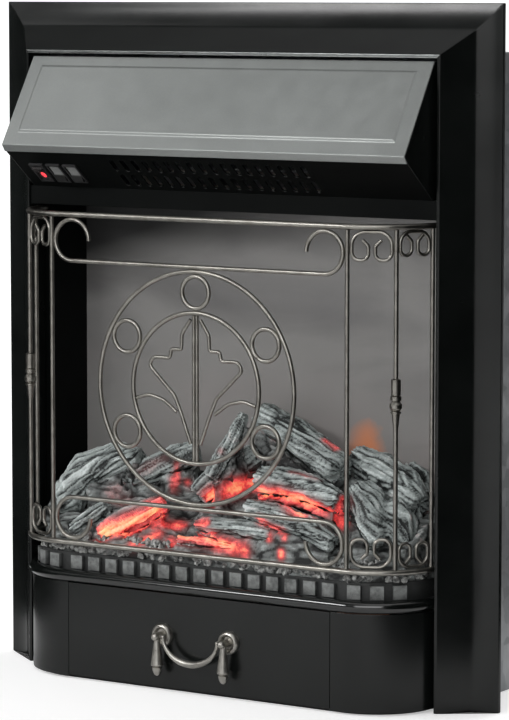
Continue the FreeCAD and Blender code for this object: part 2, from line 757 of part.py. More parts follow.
def flame_effect():
    y, z = spindle_y, spindle_z
    end = spindle_half + 4
    shaft = rod(V(-end - 4, y, z), V(end + 14, y, z), spindle_radius)
    flags = []
    pitch = flag_width + flag_gap
    count = int(2 * spindle_half / pitch)
    for i in range(count):
        x = (i - (count - 1) / 2) * pitch
        flag = box(x - flag_width / 2, x + flag_width / 2, y - 0.4, y + 0.4, z - flag_reach, z + flag_reach)
        flag.rotate(V(x, y, z), V(1, 0, 0), i * 49)
        flags.append(flag)
    save("flicker_spindle", joined([shaft] + flags))
    brackets = []
    for x in (-end - 1.5, end):
        plate = box(x, x + 1.5, y - 16, y + 16, shelf_top, z + 14)
        heel = x if x < 0 else x - 12.5
        foot = box(heel, heel + 14, y - 16, y + 16, shelf_top, shelf_top + 1.5)
        bore = rod(V(x - 1, y, z), V(x + 3, y, z), spindle_radius + pivot_clearance)
        brackets.append(joined([plate, foot]).cut(bore))
    save("spindle_brackets", Part.makeCompound(brackets))
    motor = rod(V(end + 1.5, y, z), V(end + 19.5, y, z), 13)
    bore = rod(V(end, y, z), V(end + 16, y, z), spindle_radius + pivot_clearance)
    save("flicker_motor", motor.cut(bore))

    holders = []
    lamps = []
    for side in (-1, 1):
        plate = box(172, 173.5, lamp_y - 14, lamp_y + 14, lamp_z - 16, shelf_z)
        cup = rod(V(150, lamp_y, lamp_z), V(172, lamp_y, lamp_z), 13)
        holder = joined([plate, cup])
        outline = [(150, 0), (150, 8.5), (140, 8.5), (126, 14), (114, 16), (102, 14), (86, 8.5),
                   (66, 3), (60, 2), (60, 0)]
        face = Part.Face(loop([V(side * x, lamp_y, lamp_z + r) for x, r in outline]))
        lamps.append(face.revolve(V(0, lamp_y, lamp_z), V(1, 0, 0), 360))
        holders.append(holder if side > 0 else mirrored(holder))
    save("lamp_holders", Part.makeCompound(holders))
    save("lamps", Part.makeCompound(lamps))


def base():
    back = bow_back
    path = bow_edges(bow_half_width - bead_set_back, bead_front, bow_radius - bead_set_back, back, bead_z)
    save("shelf_bead", tube(path, bead_radius))

    shell = bow_solid(0, back, floor_sheet, apron_top)
    shell = shell.cut(bow_solid(apron_sheet, back + 1, floor_sheet - 1, apron_top + 1))
    foot = bow_solid(apron_sheet, back, floor_sheet, floor_sheet + apron_sheet)
    foot = foot.cut(bow_solid(22, back + 1, 0, 50))
    corner = joined([shell, foot]).common(box(seam_x, 300, -200, 0, 0, 200))
    edge = box(seam_x, seam_x + apron_sheet, face_y + apron_sheet, face_y + 10, floor_sheet, apron_top)
    corner = joined([corner, edge])
    save("apron_right_corner", corner)
    save("apron_left_corner", mirrored(corner))


def handle_stud(foot, side):
    # A dished rosette, the post on it, and the pendant that hangs from the post.
    dish = [(0, 0), (1, 0), (1, 1.6), (0.95, 3.2), (0.86, 4.3), (0.76, 4.7), (0.66, 4.3), (0.57, 3.2),
            (0.53, 1.4), (0, 1)]
    rim = [foot + V(rosette_radius * r, -rise, 0) for r, rise in dish]
    rosette = Part.Face(loop(rim)).revolve(foot, V(0, 1, 0), 360)
    hinge = V(foot.x, hinge_y, foot.z)
    end = foot - V(0, post_length, 0)
    post = rod(foot, end, post_radius)
    tip = Part.makeSphere(post_end_radius, end)
    turning = [(0, 0.06), (0.5, 0.06), (0.52, 0.14), (0.63, 0.3), (0.81, 0.5), (1, 0.71), (0.95, 0.74),
               (0.6, 0.765), (0.78, 0.8), (0.7, 0.88), (0.45, 0.97), (0.2, 1), (0, 1)]
    outline = [hinge + V(pendant_radius * r, 0, -pendant_length * drop) for r, drop in turning]
    pendant = Part.Face(loop(outline)).revolve(hinge, V(0, 0, 1), 360)
    back = V(0, apron_sheet, 0)
    bolt = rod(foot, foot + back, post_radius * 0.6)
    hole = rod(foot - back, foot + back * 2, post_radius * 0.6)
    reach = V(side, 0, 0)
    bore = rod(hinge - reach * (2 * post_end_radius), hinge + reach * (pin_past + 0.4),
               pin_radius + pivot_clearance)
    return joined([bolt, rosette, post, tip, pendant]).cut(bore), hole


def drawer():
    half = seam_x - seam_gap
    low = floor_sheet + 1.5
    high = apron_top - seam_gap
    front = box(-half, half, face_y, face_y + 10, low, high)
    inner = box(-half + apron_sheet, half - apron_sheet, face_y + apron_sheet, 0,
                low + apron_sheet, high - apron_sheet)
    front = front.cut(inner)
    studs = []
    for side in (-1, 1):
        foot = V(side * handle_half_span, face_y, handle_z)
        stud, hole = handle_stud(foot, side)
        front = front.cut(hole)
        studs.append(stud)
    save("drawer_front", front)
    save("handle_rosettes", Part.makeCompound(studs))

    y0 = face_y + apron_sheet
    tray = box(-drawer_half_width, drawer_half_width, y0, y0 + drawer_depth,
               drawer_bottom, drawer_bottom + drawer_height)
    tray = tray.cut(box(drawer_wall - drawer_half_width, drawer_half_width - drawer_wall,
                        y0 + drawer_wall, y0 + drawer_depth - drawer_wall,
                        drawer_bottom + drawer_wall, 200))
    save("drawer_tray", tray)

    wall = drawer_half_width + runner_gap
    ledge_top = drawer_bottom - runner_gap
    y1, y2 = face_y + 24, face_y + apron_sheet + drawer_depth + 20
    foot = box(wall - 16, wall + sheet, y1, y2, floor_sheet, floor_sheet + sheet)
    side = box(wall, wall + sheet, y1, y2, floor_sheet, drawer_bottom + drawer_height * 0.7)
    ledge = box(wall - 12, wall, y1, y2, ledge_top - sheet, ledge_top)
    runner = joined([foot, side, ledge])
    save("drawer_runners", Part.makeCompound([runner, mirrored(runner)]))


def drop_handle():
    # A bail that swells towards its middle and hangs on two pins.
    rings = []
    for i in range(13):
        angle = math.pi * i / 12
        wide = bail_half_width * math.cos(angle)
        low = bail_drop * math.sin(angle)
        turn = math.atan2(bail_drop * math.cos(angle), bail_half_width * math.sin(angle))
        swell = (bail_middle_radius - bail_end_radius) * math.sin(angle) ** 2
        ring = Part.makeCircle(bail_end_radius + swell, V(0, 0, 0), V(1, 0, 0))
        ring.rotate(V(0, 0, 0), V(0, 1, 0), math.degrees(turn))
        ring.translate(V(-wide, hinge_y, handle_z - low))
        rings.append(Part.Wire(ring))
    solids = [Part.makeLoft(rings, True)]
    for side in (-1, 1):
        end = V(side * bail_half_width, hinge_y, handle_z)
        solids.append(Part.makeSphere(bail_end_radius * 1.2, end))
        solids.append(rod(end, V(side * (handle_half_span + pin_past), hinge_y, handle_z), pin_radius))
    save("handle_bail", joined(solids))


def guard_plan(angle):
    # Point on the rounded corner of the guard, the angle measured back from the flat front.
    cx = bow_half_width - guard_radius
    cy = -bow_front + guard_radius
    return cx + guard_radius * math.sin(angle), cy - guard_radius * math.cos(angle)


def upright_plans():
    cx = bow_half_width - guard_radius
    inner = guard_plan(math.asin((upright_x - cx) / guard_radius))
    middle = guard_plan(math.asin((baluster_x - cx) / guard_radius))
    outer = guard_plan(math.radians(outer_upright_angle))
    return inner, middle, outer


def guard_rails():
    end = rail_end_y
    for name, z in (("guard_top_rail", rail_top_z), ("guard_bottom_rail", rail_bottom_z)):
        rail = tube(bow_edges(bow_half_width, bow_front, guard_radius, end, z), rail_radius)
        tab = box(bow_half_width, opening_half, end - 9, end, z - rail_radius, z + rail_radius)
        save(name, joined([rail, tab, mirrored(tab)]))


def turned_sleeve(x, y):
    z = guard_mid_z - sleeve_drop
    steps = [(2.2, 0), (3.6, 12), (4.6, 12.5), (4.6, 14), (3.4, 14.5), (5.4, 17), (5.4, 20),
             (3.4, 23), (4.8, 23.5), (4.8, 27), (3.4, 27.5), (4.2, 28), (4.2, 41), (2.2, 42)]
    profile = [V(x, y, z)] + [V(x + r, y, z + h) for r, h in steps] + [V(x, y, z + 42)]
    return Part.Face(loop(profile)).revolve(V(x, y, z), V(0, 0, 1), 360)


def guard_uprights():
    low = rail_bottom_z + rail_radius
    high = rail_top_z - rail_radius
    bars = []
    for i, (x, y) in enumerate(upright_plans()):
        bar = rod(V(x, y, low), V(x, y, high), wire_radius)
        if i == 1:
            bar = joined([bar, turned_sleeve(x, y)])
        bars += [bar, mirrored(bar)]
    save("guard_uprights", Part.makeCompound(bars))


def scroll_levels():
    return guard_mid_z - scroll_reach, guard_mid_z + scroll_reach


def guard_scrolls():
    y = -bow_front
    x = upright_x - 2 * wire_radius - hook_radius - 0.2
    for name, bar_z, up in (("guard_lower_scroll", scroll_levels()[0], -1),
                            ("guard_upper_scroll", scroll_levels()[1], 1)):
        centre = bar_z + up * hook_radius
        a = V(x - hook_radius, y, centre)
        b = V(x, y, centre + up * hook_radius)
        c = V(x + hook_radius, y, centre)
        d = V(x, y, bar_z)
        turn = hook_radius * math.sqrt(0.5)
        hook = [Part.Arc(a, V(x - turn, y, centre + up * turn), b).toShape(),
                Part.Arc(b, V(x + turn, y, centre + up * turn), c).toShape(),
                Part.Arc(c, V(x + turn, y, centre - up * turn), d).toShape()]
        other = [edge.mirror(V(0, 0, 0), V(1, 0, 0)) for edge in hook]
        bar = Part.makeLine(d, V(-x, y, bar_z))
        save(name, tube(Part.__sortEdges__(hook + [bar] + other), wire_radius))


def guard_rings():
    y = -bow_front
    centre = V(0, y, guard_mid_z)
    big = outer_ring_radius
    save("guard_outer_ring", Part.makeTorus(big, wire_radius, centre, V(0, 1, 0)))
    save("guard_inner_ring", Part.makeTorus(inner_ring_radius, wire_radius, centre, V(0, 1, 0)))
    small = (big - inner_ring_radius) / 2 - 2 * wire_radius
    away = (big + inner_ring_radius) / 2
    rings = []
    for angle in (90, 30, 150, 210, 330):
        turn = math.radians(angle)
        at = centre + V(math.cos(turn), 0, math.sin(turn)) * away
        rings.append(Part.makeTorus(small, wire_radius, at, V(0, 1, 0)))
    save("guard_small_rings", Part.makeCompound(rings))


def guard_leaf():
    y = -bow_front
    mid = guard_mid_z
    k = inner_ring_radius / 66.0
    inside = inner_ring_radius - wire_radius
    stems = []
    for side in (-1, 1):
        x = side * (leaf_wire_radius + 0.05)
        reach = math.sqrt(inside ** 2 - (leaf_wire_radius * 2 + 0.05) ** 2)
        stems.append(rod(V(x, y, mid - reach), V(x, y, mid + reach), leaf_wire_radius))

    gap = 3 * leaf_wire_radius + 0.25
    leaf = [(gap, 60), (14.2, 47), (14.6, 33.2), (25.2, 33.4), (27, 25.4), (44.5, 25.4),
            (49, 18), (22, -7.5), (14.5, -24), (gap, -49)]
    leaf = [V(max(px * k, gap), y, mid + pz * k) for px, pz in leaf]
    # The side stems run from the ring to the leaf's lower flank, a little clear of it.
    bearing = unit(V(62.4, 0, -11.8))
    flank = leaf[8] - leaf[7]
    out = unit(V(-flank.z, 0, flank.x))
    side = [V(0, y, mid) + bearing * (inside - 0.5), V(50 * k, y, mid - 8 * k),
            V(34 * k, y, mid - 11.5 * k), leaf[7] + flank * 0.754 + out * (2 * leaf_wire_radius + 0.8)]
    shapes = stems
    for line, radii in ((leaf, [10, 2.4, 2.4, 2.6, 6, 6, 12, 12]), (side, [16, 20])):
        wire = tube(rounded_path(line, radii), leaf_wire_radius)
        shapes += [wire, mirrored(wire)]
    save("guard_leaf", Part.makeCompound(shapes))


def corner_scroll(start, end, top):
    # An arch with two curled ends, standing in the upright plane between two bars.
    a, b = V(start[0], start[1], 0), V(end[0], end[1], 0)
    along = unit(b - a)
    half = (b - a).Length / 2 - wire_radius - leaf_wire_radius - 0.1
    middle = (a + b) * 0.5
    curl = (half - 3) / 2 * 0.98
    arch = half * 0.88
    deep = 2 * half * 0.70
    outline = [(-8, -deep + 17), (-3, -deep + 12), (-3, -deep), (-half, -deep), (-half, 0),
               (half, 0), (half, -deep), (3, -deep), (3, -deep + 12), (8, -deep + 17)]
    radii = [4, curl, curl, arch, arch, curl, curl, 4]
    level = rail_top_z if top else rail_bottom_z
    reach = rail_radius + leaf_wire_radius + 0.2
    points = []
    for s, t in outline:
        z = level - reach + t if top else level + reach - t
        points.append(middle + along * s + V(0, 0, z))
    return tube(rounded_path(points, radii), leaf_wire_radius)


def guard_corner_scrolls():
    inner, middle, outer = upright_plans()
    shapes = []
    for start, end in ((inner, middle), (middle, outer)):
        for top in (True, False):
            scroll = corner_scroll(start, end, top)
            shapes += [scroll, mirrored(scroll)]
    save("guard_corner_scrolls", Part.makeCompound(shapes))


os.makedirs("parts", exist_ok=True)
surround()
casing()
cable_gland()
header()
hood()
switches()
blower()
firebox()
grate_strip()
fuel_bed()
flame_effect()
base()
drawer()
drop_handle()
guard_rails()
guard_uprights()
guard_scrolls()
guard_rings()
guard_leaf()
guard_corner_scrolls()
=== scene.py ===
import json
import math
import bmesh
import bpy
from mathutils import Matrix, Vector, noise


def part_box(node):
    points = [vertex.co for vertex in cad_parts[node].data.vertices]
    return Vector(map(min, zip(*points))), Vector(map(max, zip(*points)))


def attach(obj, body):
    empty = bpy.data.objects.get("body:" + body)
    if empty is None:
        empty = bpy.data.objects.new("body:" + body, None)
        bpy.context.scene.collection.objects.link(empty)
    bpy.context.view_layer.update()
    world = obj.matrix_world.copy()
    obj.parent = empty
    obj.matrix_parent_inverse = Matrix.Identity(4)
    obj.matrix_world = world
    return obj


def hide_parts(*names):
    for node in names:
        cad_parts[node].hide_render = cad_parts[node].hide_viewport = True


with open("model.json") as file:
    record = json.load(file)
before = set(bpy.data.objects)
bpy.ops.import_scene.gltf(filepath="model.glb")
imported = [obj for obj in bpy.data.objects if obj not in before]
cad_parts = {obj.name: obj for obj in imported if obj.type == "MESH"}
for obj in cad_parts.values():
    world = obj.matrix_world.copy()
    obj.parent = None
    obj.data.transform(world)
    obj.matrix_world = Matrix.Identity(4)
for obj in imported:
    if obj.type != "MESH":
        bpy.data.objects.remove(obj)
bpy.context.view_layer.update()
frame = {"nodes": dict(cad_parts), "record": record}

nodes = frame["nodes"]
bodyOf = {node: body for body, members in frame["record"]["behaviour"]["bodies"].items() for node in members}
slotOf = {name: part.data.materials[0].name for name, part in nodes.items()}
scene = bpy.context.scene
scene.view_settings.view_transform = "Standard"
noise.seed_set(11)  # the same bark each run


# shader trees

def feed(tree, port, value):
    if isinstance(value, Field):
        tree.links.new(value.socket, port)
    else:
        port.default_value = value


class Field:  # one socket of a tree that can be reckoned with
    def __init__(self, tree, socket):
        self.tree = tree
        self.socket = socket

    def calc(self, operation, *values):
        node = self.tree.nodes.new("ShaderNodeMath")
        node.operation = operation
        for port, value in zip(node.inputs, values):
            feed(self.tree, port, value)
        return Field(self.tree, node.outputs[0])

    def __add__(self, other): return self.calc("ADD", self, other)
    def __radd__(self, other): return self.calc("ADD", other, self)
    def __sub__(self, other): return self.calc("SUBTRACT", self, other)
    def __rsub__(self, other): return self.calc("SUBTRACT", other, self)
    def __mul__(self, other): return self.calc("MULTIPLY", self, other)
    def __rmul__(self, other): return self.calc("MULTIPLY", other, self)
    def __truediv__(self, other): return self.calc("DIVIDE", self, other)
    def __rtruediv__(self, other): return self.calc("DIVIDE", other, self)
    def clip(self): return self.calc("MINIMUM", self.calc("MAXIMUM", self, 0.0), 1.0)


class Finish:  # one material and its tree
    def __init__(self, name, **fixed):
        self.material = bpy.data.materials.new(name)
        self.material.use_nodes = True
        self.tree = self.material.node_tree
        self.shader = self.tree.nodes["Principled BSDF"]
        for socket, value in fixed.items():
            self.shader.inputs[spelled(socket)].default_value = value

    def make(self, kind, values=None, out=0, **settings):
        node = self.tree.nodes.new(kind)
        for name, value in settings.items():
            setattr(node, name, value)
        for port, value in (values or {}).items():
            feed(self.tree, node.inputs[port], value)
        return Field(self.tree, node.outputs[out])

    def spot(self, stretch=(1, 1, 1), turn=(0, 0, 0)):
        place = self.make("ShaderNodeTexCoord", out="Object")
        return self.make("ShaderNodeMapping", {"Vector": place, "Scale": stretch, "Rotation": turn})

    def grain(self, scale, detail=3.0, rough=0.55, at=None, warp=0.0):
        return self.make("ShaderNodeTexNoise", {"Vector": at or self.spot(), "Scale": scale, "Detail": detail,
                                                "Roughness": rough, "Distortion": warp}, out="Fac")

    def cells(self, scale, out="Distance"):
        return self.make("ShaderNodeTexVoronoi", {"Vector": self.spot(), "Scale": scale}, out=out)

    def painted(self, name):
        return self.make("ShaderNodeAttribute", out="Fac", attribute_name=name)

    def span(self, value, low, high, bottom=0.0, top=1.0):
        return self.make("ShaderNodeMapRange", {"Value": value, "From Min": low, "From Max": high,
                                                "To Min": bottom, "To Max": top}, out="Result")

    def tint(self, amount, first, second):
        return self.make("ShaderNodeMix", {0: amount, 6: first, 7: second}, out=2, data_type="RGBA")

    def relief(self, height, depth, strength=1.0):
        return self.make("ShaderNodeBump", {"Height": height, "Distance": depth, "Strength": strength},
                         out="Normal")

    def give(self, **values):
        for socket, value in values.items():
            feed(self.tree, self.shader.inputs[spelled(socket)], value)
        return self.material


def spelled(socket):  # baseColor to Base Color
    words = "".join(" " + c if c.isupper() else c for c in socket).title()
    return words.replace("Ior", "IOR")


# finishes

def satinBlackPaint(name, bare, dusty, shine, gloss, lipHighlight=None):
    coat = Finish(name, specularIorLevel=gloss)
    cloud = coat.span(coat.grain(14, 5, 0.6), 0.35, 0.7)
    speck = coat.span(coat.grain(2600, 2), 0.62, 0.8)
    wipe = coat.grain(38, 4, at=coat.spot((0.35, 1, 1)))
    skin = coat.tint((cloud * 0.55 + speck * 0.25).clip(), bare, dusty)
    if lipHighlight:  # front lip painted pale and metallic: a painted highlight along the rail's lip
        y = coat.make("ShaderNodeSeparateXYZ", {"Vector": coat.spot()}, out="Y")
        z = coat.make("ShaderNodeSeparateXYZ", {"Vector": coat.spot()}, out="Z")
        low = coat.span(z, lipHighlight["top"], lipHighlight["top"] - lipHighlight["fade"])
        ahead = coat.span(y, lipHighlight["front"] + lipHighlight["fade"] * 2, lipHighlight["front"] + lipHighlight["fade"])
        wearAndHighlight = low * ahead * coat.span(coat.grain(60, 4), 0.3, 0.5, 0.7, 1.0)
        skin = coat.tint(wearAndHighlight, skin, lipHighlight["steel"])
        coat.give(metallic=wearAndHighlight)
    return coat.give(baseColor=skin, roughness=coat.span(wipe, 0.3, 0.75, *shine),
                     normal=coat.relief(coat.grain(1100, 2), 0.000012))


def hoodPaint():
    paint = {"flake": (0.350, 0.365, 0.357, 1), "shade": (0.25, 0.263, 0.257, 1), "metal": 0.62,
             "shine": (0.36, 0.44), "flakes": 2400.0}
    coat = Finish("pewterHoodPaint", metallic=paint["metal"])
    flake = coat.cells(paint["flakes"], out="Distance")
    cloud = coat.grain(9, 4, 0.6)
    mix = (coat.span(flake, 0.1, 0.7) * 0.5 + coat.span(cloud, 0.3, 0.75) * 0.5).clip()
    return coat.give(baseColor=coat.tint(mix, paint["flake"], paint["shade"]),
                     roughness=coat.span(coat.grain(60, 4), 0.3, 0.7, *paint["shine"]),
                     normal=coat.relief(coat.grain(1500, 2), 0.000010))


def agedPewter(name, dark, bright, soot, shine):
    coat = Finish(name, metallic=1.0)
    wear = coat.span(coat.grain(90, 4, 0.55), 0.32, 0.70)
    grime = coat.span(coat.grain(31, 4, 0.6), 0.55, 0.78)
    wearAndHighlight = coat.tint(grime * 0.5, coat.tint(wear, dark, bright), soot)
    return coat.give(baseColor=wearAndHighlight, roughness=coat.span(coat.grain(160, 3), 0.3, 0.7, *shine),
                     normal=coat.relief(coat.grain(520, 2), 0.00002, 0.6))


def zincSheet():
    sheet = {"light": (0.52, 0.535, 0.55, 1), "dark": (0.33, 0.345, 0.36, 1), "spangle": 85.0}
    coat = Finish("spangledZinc", metallic=1.0)
    spangle = coat.make("ShaderNodeSeparateColor", {"Color": coat.cells(sheet["spangle"], out="Color")})
    stain = coat.span(coat.grain(11, 5, 0.62), 0.45, 0.75)
    shade = (spangle * 0.6 + stain * 0.5).clip()
    return coat.give(baseColor=coat.tint(shade, sheet["light"], sheet["dark"]),
                     roughness=coat.span(spangle, 0.0, 1.0, 0.30, 0.48),
                     normal=coat.relief(coat.grain(900, 2), 0.000008))


def plainMetal(name, light, dark, shine, stretch=(1, 1, 1), scale=400.0):
    coat = Finish(name, metallic=1.0)
    brush = coat.grain(scale, 4, 0.6, at=coat.spot(stretch))
    stain = coat.span(coat.grain(26, 4, 0.6), 0.4, 0.75)
    return coat.give(baseColor=coat.tint((brush * 0.4 + stain * 0.5).clip(), light, dark),
                     roughness=coat.span(brush, 0.3, 0.7, *shine), normal=coat.relief(brush, 0.00002))


def mouldedPlastic(name, light, dark, shine, scale=1500.0):
    coat = Finish(name)
    pit = coat.grain(scale, 2)
    cloud = coat.span(coat.grain(60, 4), 0.35, 0.7)
    return coat.give(baseColor=coat.tint(cloud, light, dark), roughness=coat.span(pit, 0.3, 0.7, *shine),
                     normal=coat.relief(pit, 0.000015))


def litRocker():
    lamp = {"red": (0.42, 0.008, 0.014, 1), "core": (1.0, 0.07, 0.09, 1), "glow": 1.5, "dot": 0.0024,
            "rise": 0.33}
    low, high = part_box("power_rocker")
    coat = Finish("litRedRocker", emissionStrength=lamp["glow"])
    x = coat.make("ShaderNodeSeparateXYZ", {"Vector": coat.spot()}, out="X")
    z = coat.make("ShaderNodeSeparateXYZ", {"Vector": coat.spot()}, out="Z")
    across = (x - (low[0] + high[0]) / 2) / lamp["dot"]
    along = (z - low[2] - (high[2] - low[2]) * lamp["rise"]) / lamp["dot"]
    lens = coat.span(across * across + along * along, 1.25, 0.7)
    spark = coat.span(coat.grain(900, 3), 0.3, 0.7)
    heat = lens * (spark * 0.4 + 0.6)
    return coat.give(baseColor=coat.tint(lens, (0.035, 0.032, 0.032, 1), lamp["red"]),
                     emissionColor=coat.tint(heat, (0, 0, 0, 1), lamp["core"]),
                     roughness=coat.span(spark, 0, 1, 0.22, 0.34), normal=coat.relief(spark, 0.00002))


def greyRocker():  # dark shell with a pale patch painted on its face: a painted highlight where light falls on the rocker
    low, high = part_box("low_heat_rocker")
    coat = Finish("greyRocker")
    z = coat.make("ShaderNodeSeparateXYZ", {"Vector": coat.spot()}, out="Z")
    rise = (z - low[2]) / (high[2] - low[2])
    pit = coat.grain(1500, 2)
    # painted highlight: a pale band across the middle and upper part of the rocker's face
    paintedLitPatch = coat.span(rise, 0.34, 0.42) * coat.span(rise, 0.90, 0.84) * (0.7 + coat.grain(300, 3) * 0.5)
    return coat.give(baseColor=coat.tint(paintedLitPatch.clip(), (0.016, 0.016, 0.016, 1), (0.21, 0.215, 0.21, 1)),
                     roughness=coat.span(pit, 0.3, 0.7, 0.28, 0.4), normal=coat.relief(pit, 0.000015))


def smokedScreen():
    pane = {"grey": (0.166, 0.162, 0.157, 1), "wisp": (0.112, 0.109, 0.108, 1),
            "top": (0.010, 0.010, 0.010, 1), "ember": (0.22, 0.170, 0.165, 1), "flame": (0.62, 0.17, 0.03, 1),
            "flameAt": (0.1, 0.2135), "flameWide": 0.019, "flameTall": 0.022}
    # The pane glows faintly all over in its own colour: painted light that brightens the shaded screen.
    coat = Finish("smokedFlameScreen", emissionStrength=0.26)
    place = coat.spot()
    x = coat.make("ShaderNodeSeparateXYZ", {"Vector": place}, out="X")
    z = coat.make("ShaderNodeSeparateXYZ", {"Vector": place}, out="Z")
    wisp = coat.span(coat.grain(9, 4, 0.5, at=coat.spot((0.55, 1, 1.6), (0, -0.6, 0)), warp=0.7), 0.47, 0.72)
    smoke = coat.tint(wisp, pane["grey"], pane["wisp"])
    # painted shadow of the hood: the pane goes near black towards the top, more so at the left
    shade = coat.tint(coat.span(z - x * 0.30, 0.385, 0.440), smoke, pane["top"])
    # painted glow of the embers: the lower pane is tinted towards ember colour
    emberGlowWash = coat.span(z, 0.30, 0.19) * coat.span(coat.grain(13, 3), 0.35, 0.65)
    body = coat.tint(emberGlowWash * 0.35, shade, pane["ember"])
    wave = coat.grain(55, 3) * 0.016 - 0.008
    flameX = (x - pane["flameAt"][0] + wave) / pane["flameWide"]
    flameZ = (z - pane["flameAt"][1] + wave) / pane["flameTall"]
    flame = coat.span(flameX * flameX + flameZ * flameZ, 1.35, 0.0) * 0.75
    return coat.give(baseColor=coat.tint(flame * 0.8, body, pane["flame"]),
                     emissionColor=coat.tint(flame * 0.8, body, pane["flame"]),
                     roughness=coat.span(coat.grain(300, 3), 0.3, 0.7, 0.42, 0.55),
                     normal=coat.relief(coat.grain(420, 2), 0.000015))


def ashBark(name, char, ash, frost):  # bark under ash, red where it is hot
    fire = {"rosy": (0.23, 0.055, 0.052, 1), "dull": (0.26, 0.012, 0.014, 1), "hot": (0.80, 0.052, 0.050, 1),
            "core": (1.0, 0.56, 0.21, 1), "glow": 1.0}
    coat = Finish(name, emissionStrength=fire["glow"], specularIorLevel=0.5)
    groove = coat.painted("barkGroove")
    heat = coat.painted("emberHeat")
    fleck = coat.grain(520, 4, 0.6)
    patch = coat.span(coat.grain(58, 4, 0.6), 0.36, 0.68)
    ridge = (groove * 0.9 + (fleck - 0.5) * 0.6 + (patch - 0.5) * 0.3).clip()
    bark = coat.tint(coat.span(ridge, 0.12, 0.58), char, ash)
    dusted = coat.tint(coat.span(ridge, 0.68, 0.98) * 0.85, bark, frost)
    skin = coat.tint(coat.span(heat, 0.04, 0.6) * 0.7, dusted, fire["rosy"])
    lick = (fleck - 0.5) * 0.6 + (patch - 0.5) * 0.45 + (groove - 0.6) * 0.25
    blaze = coat.span(heat + lick, 0.22, 0.92)
    red = coat.tint(coat.span(heat + lick, 0.45, 0.95), fire["dull"], fire["hot"])
    flame = coat.tint(coat.span(heat + lick * 0.8, 0.92, 1.45), red, fire["core"])
    return coat.give(baseColor=skin, emissionColor=coat.tint(blaze, (0, 0, 0, 1), flame),
                     roughness=coat.span(fleck, 0.3, 0.7, 0.34, 0.62),
                     normal=coat.relief(fleck + coat.grain(1500, 2) * 0.4, 0.0006, 0.8))


def crushedCinder():
    rock = {"pale": (0.62, 0.63, 0.61, 1), "dark": (0.055, 0.056, 0.055, 1)}
    coat = Finish("crushedCinder", specularIorLevel=0.6)
    chip = coat.grain(260, 4, 0.6)
    return coat.give(baseColor=coat.tint(coat.span(chip, 0.36, 0.68), rock["dark"], rock["pale"]),
                     roughness=coat.span(coat.grain(700, 2), 0.3, 0.7, 0.2, 0.55),
                     normal=coat.relief(coat.grain(900, 3), 0.0004))


def castGrate():
    iron = {"dark": (0.020, 0.021, 0.021, 1), "dusty": (0.225, 0.235, 0.23, 1)}
    coat = Finish("dustyCastGrate", specularIorLevel=0.4)
    z = coat.make("ShaderNodeSeparateXYZ", {"Vector": coat.spot()}, out="Z")
    # random dust, paler towards the top of the blocks
    dustAndShade = coat.span(coat.grain(160, 4, 0.6), 0.30, 0.62, 0.25, 1.0) * coat.span(z, 0.0985, 0.108, 0.5, 1.0)
    # painted shade: the recessed gaps between the blocks are darkened
    dustAndShade = dustAndShade * (1 - coat.painted("grateRecess") * 0.93)
    return coat.give(baseColor=coat.tint(dustAndShade, iron["dark"], iron["dusty"]),
                     roughness=coat.span(coat.grain(500, 3), 0.3, 0.7, 0.38, 0.62),
                     normal=coat.relief(coat.grain(800, 3), 0.00012))


def lampGlass():
    glass = {"dull": (0.62, 0.50, 0.40, 1), "clear": (0.78, 0.66, 0.52, 1), "low": (0.5, 0.16, 0.05, 1),
             "lit": (0.7, 0.26, 0.09, 1), "glow": 0.1}
    coat = Finish("frostedLampGlass", emissionStrength=glass["glow"])
    frost = coat.grain(700, 3)
    return coat.give(baseColor=coat.tint(frost, glass["dull"], glass["clear"]),
                     emissionColor=coat.tint(coat.span(frost, 0.3, 0.7), glass["low"], glass["lit"]),
                     roughness=coat.span(frost, 0.3, 0.7, 0.3, 0.45), normal=coat.relief(frost, 0.00002))


black = {"bare": (0.0030, 0.0038, 0.0035, 1), "dusty": (0.0085, 0.0102, 0.0095, 1), "shine": (0.20, 0.28),
         "gloss": 0.45, "beadShine": (0.10, 0.15), "beadGloss": 1.0}
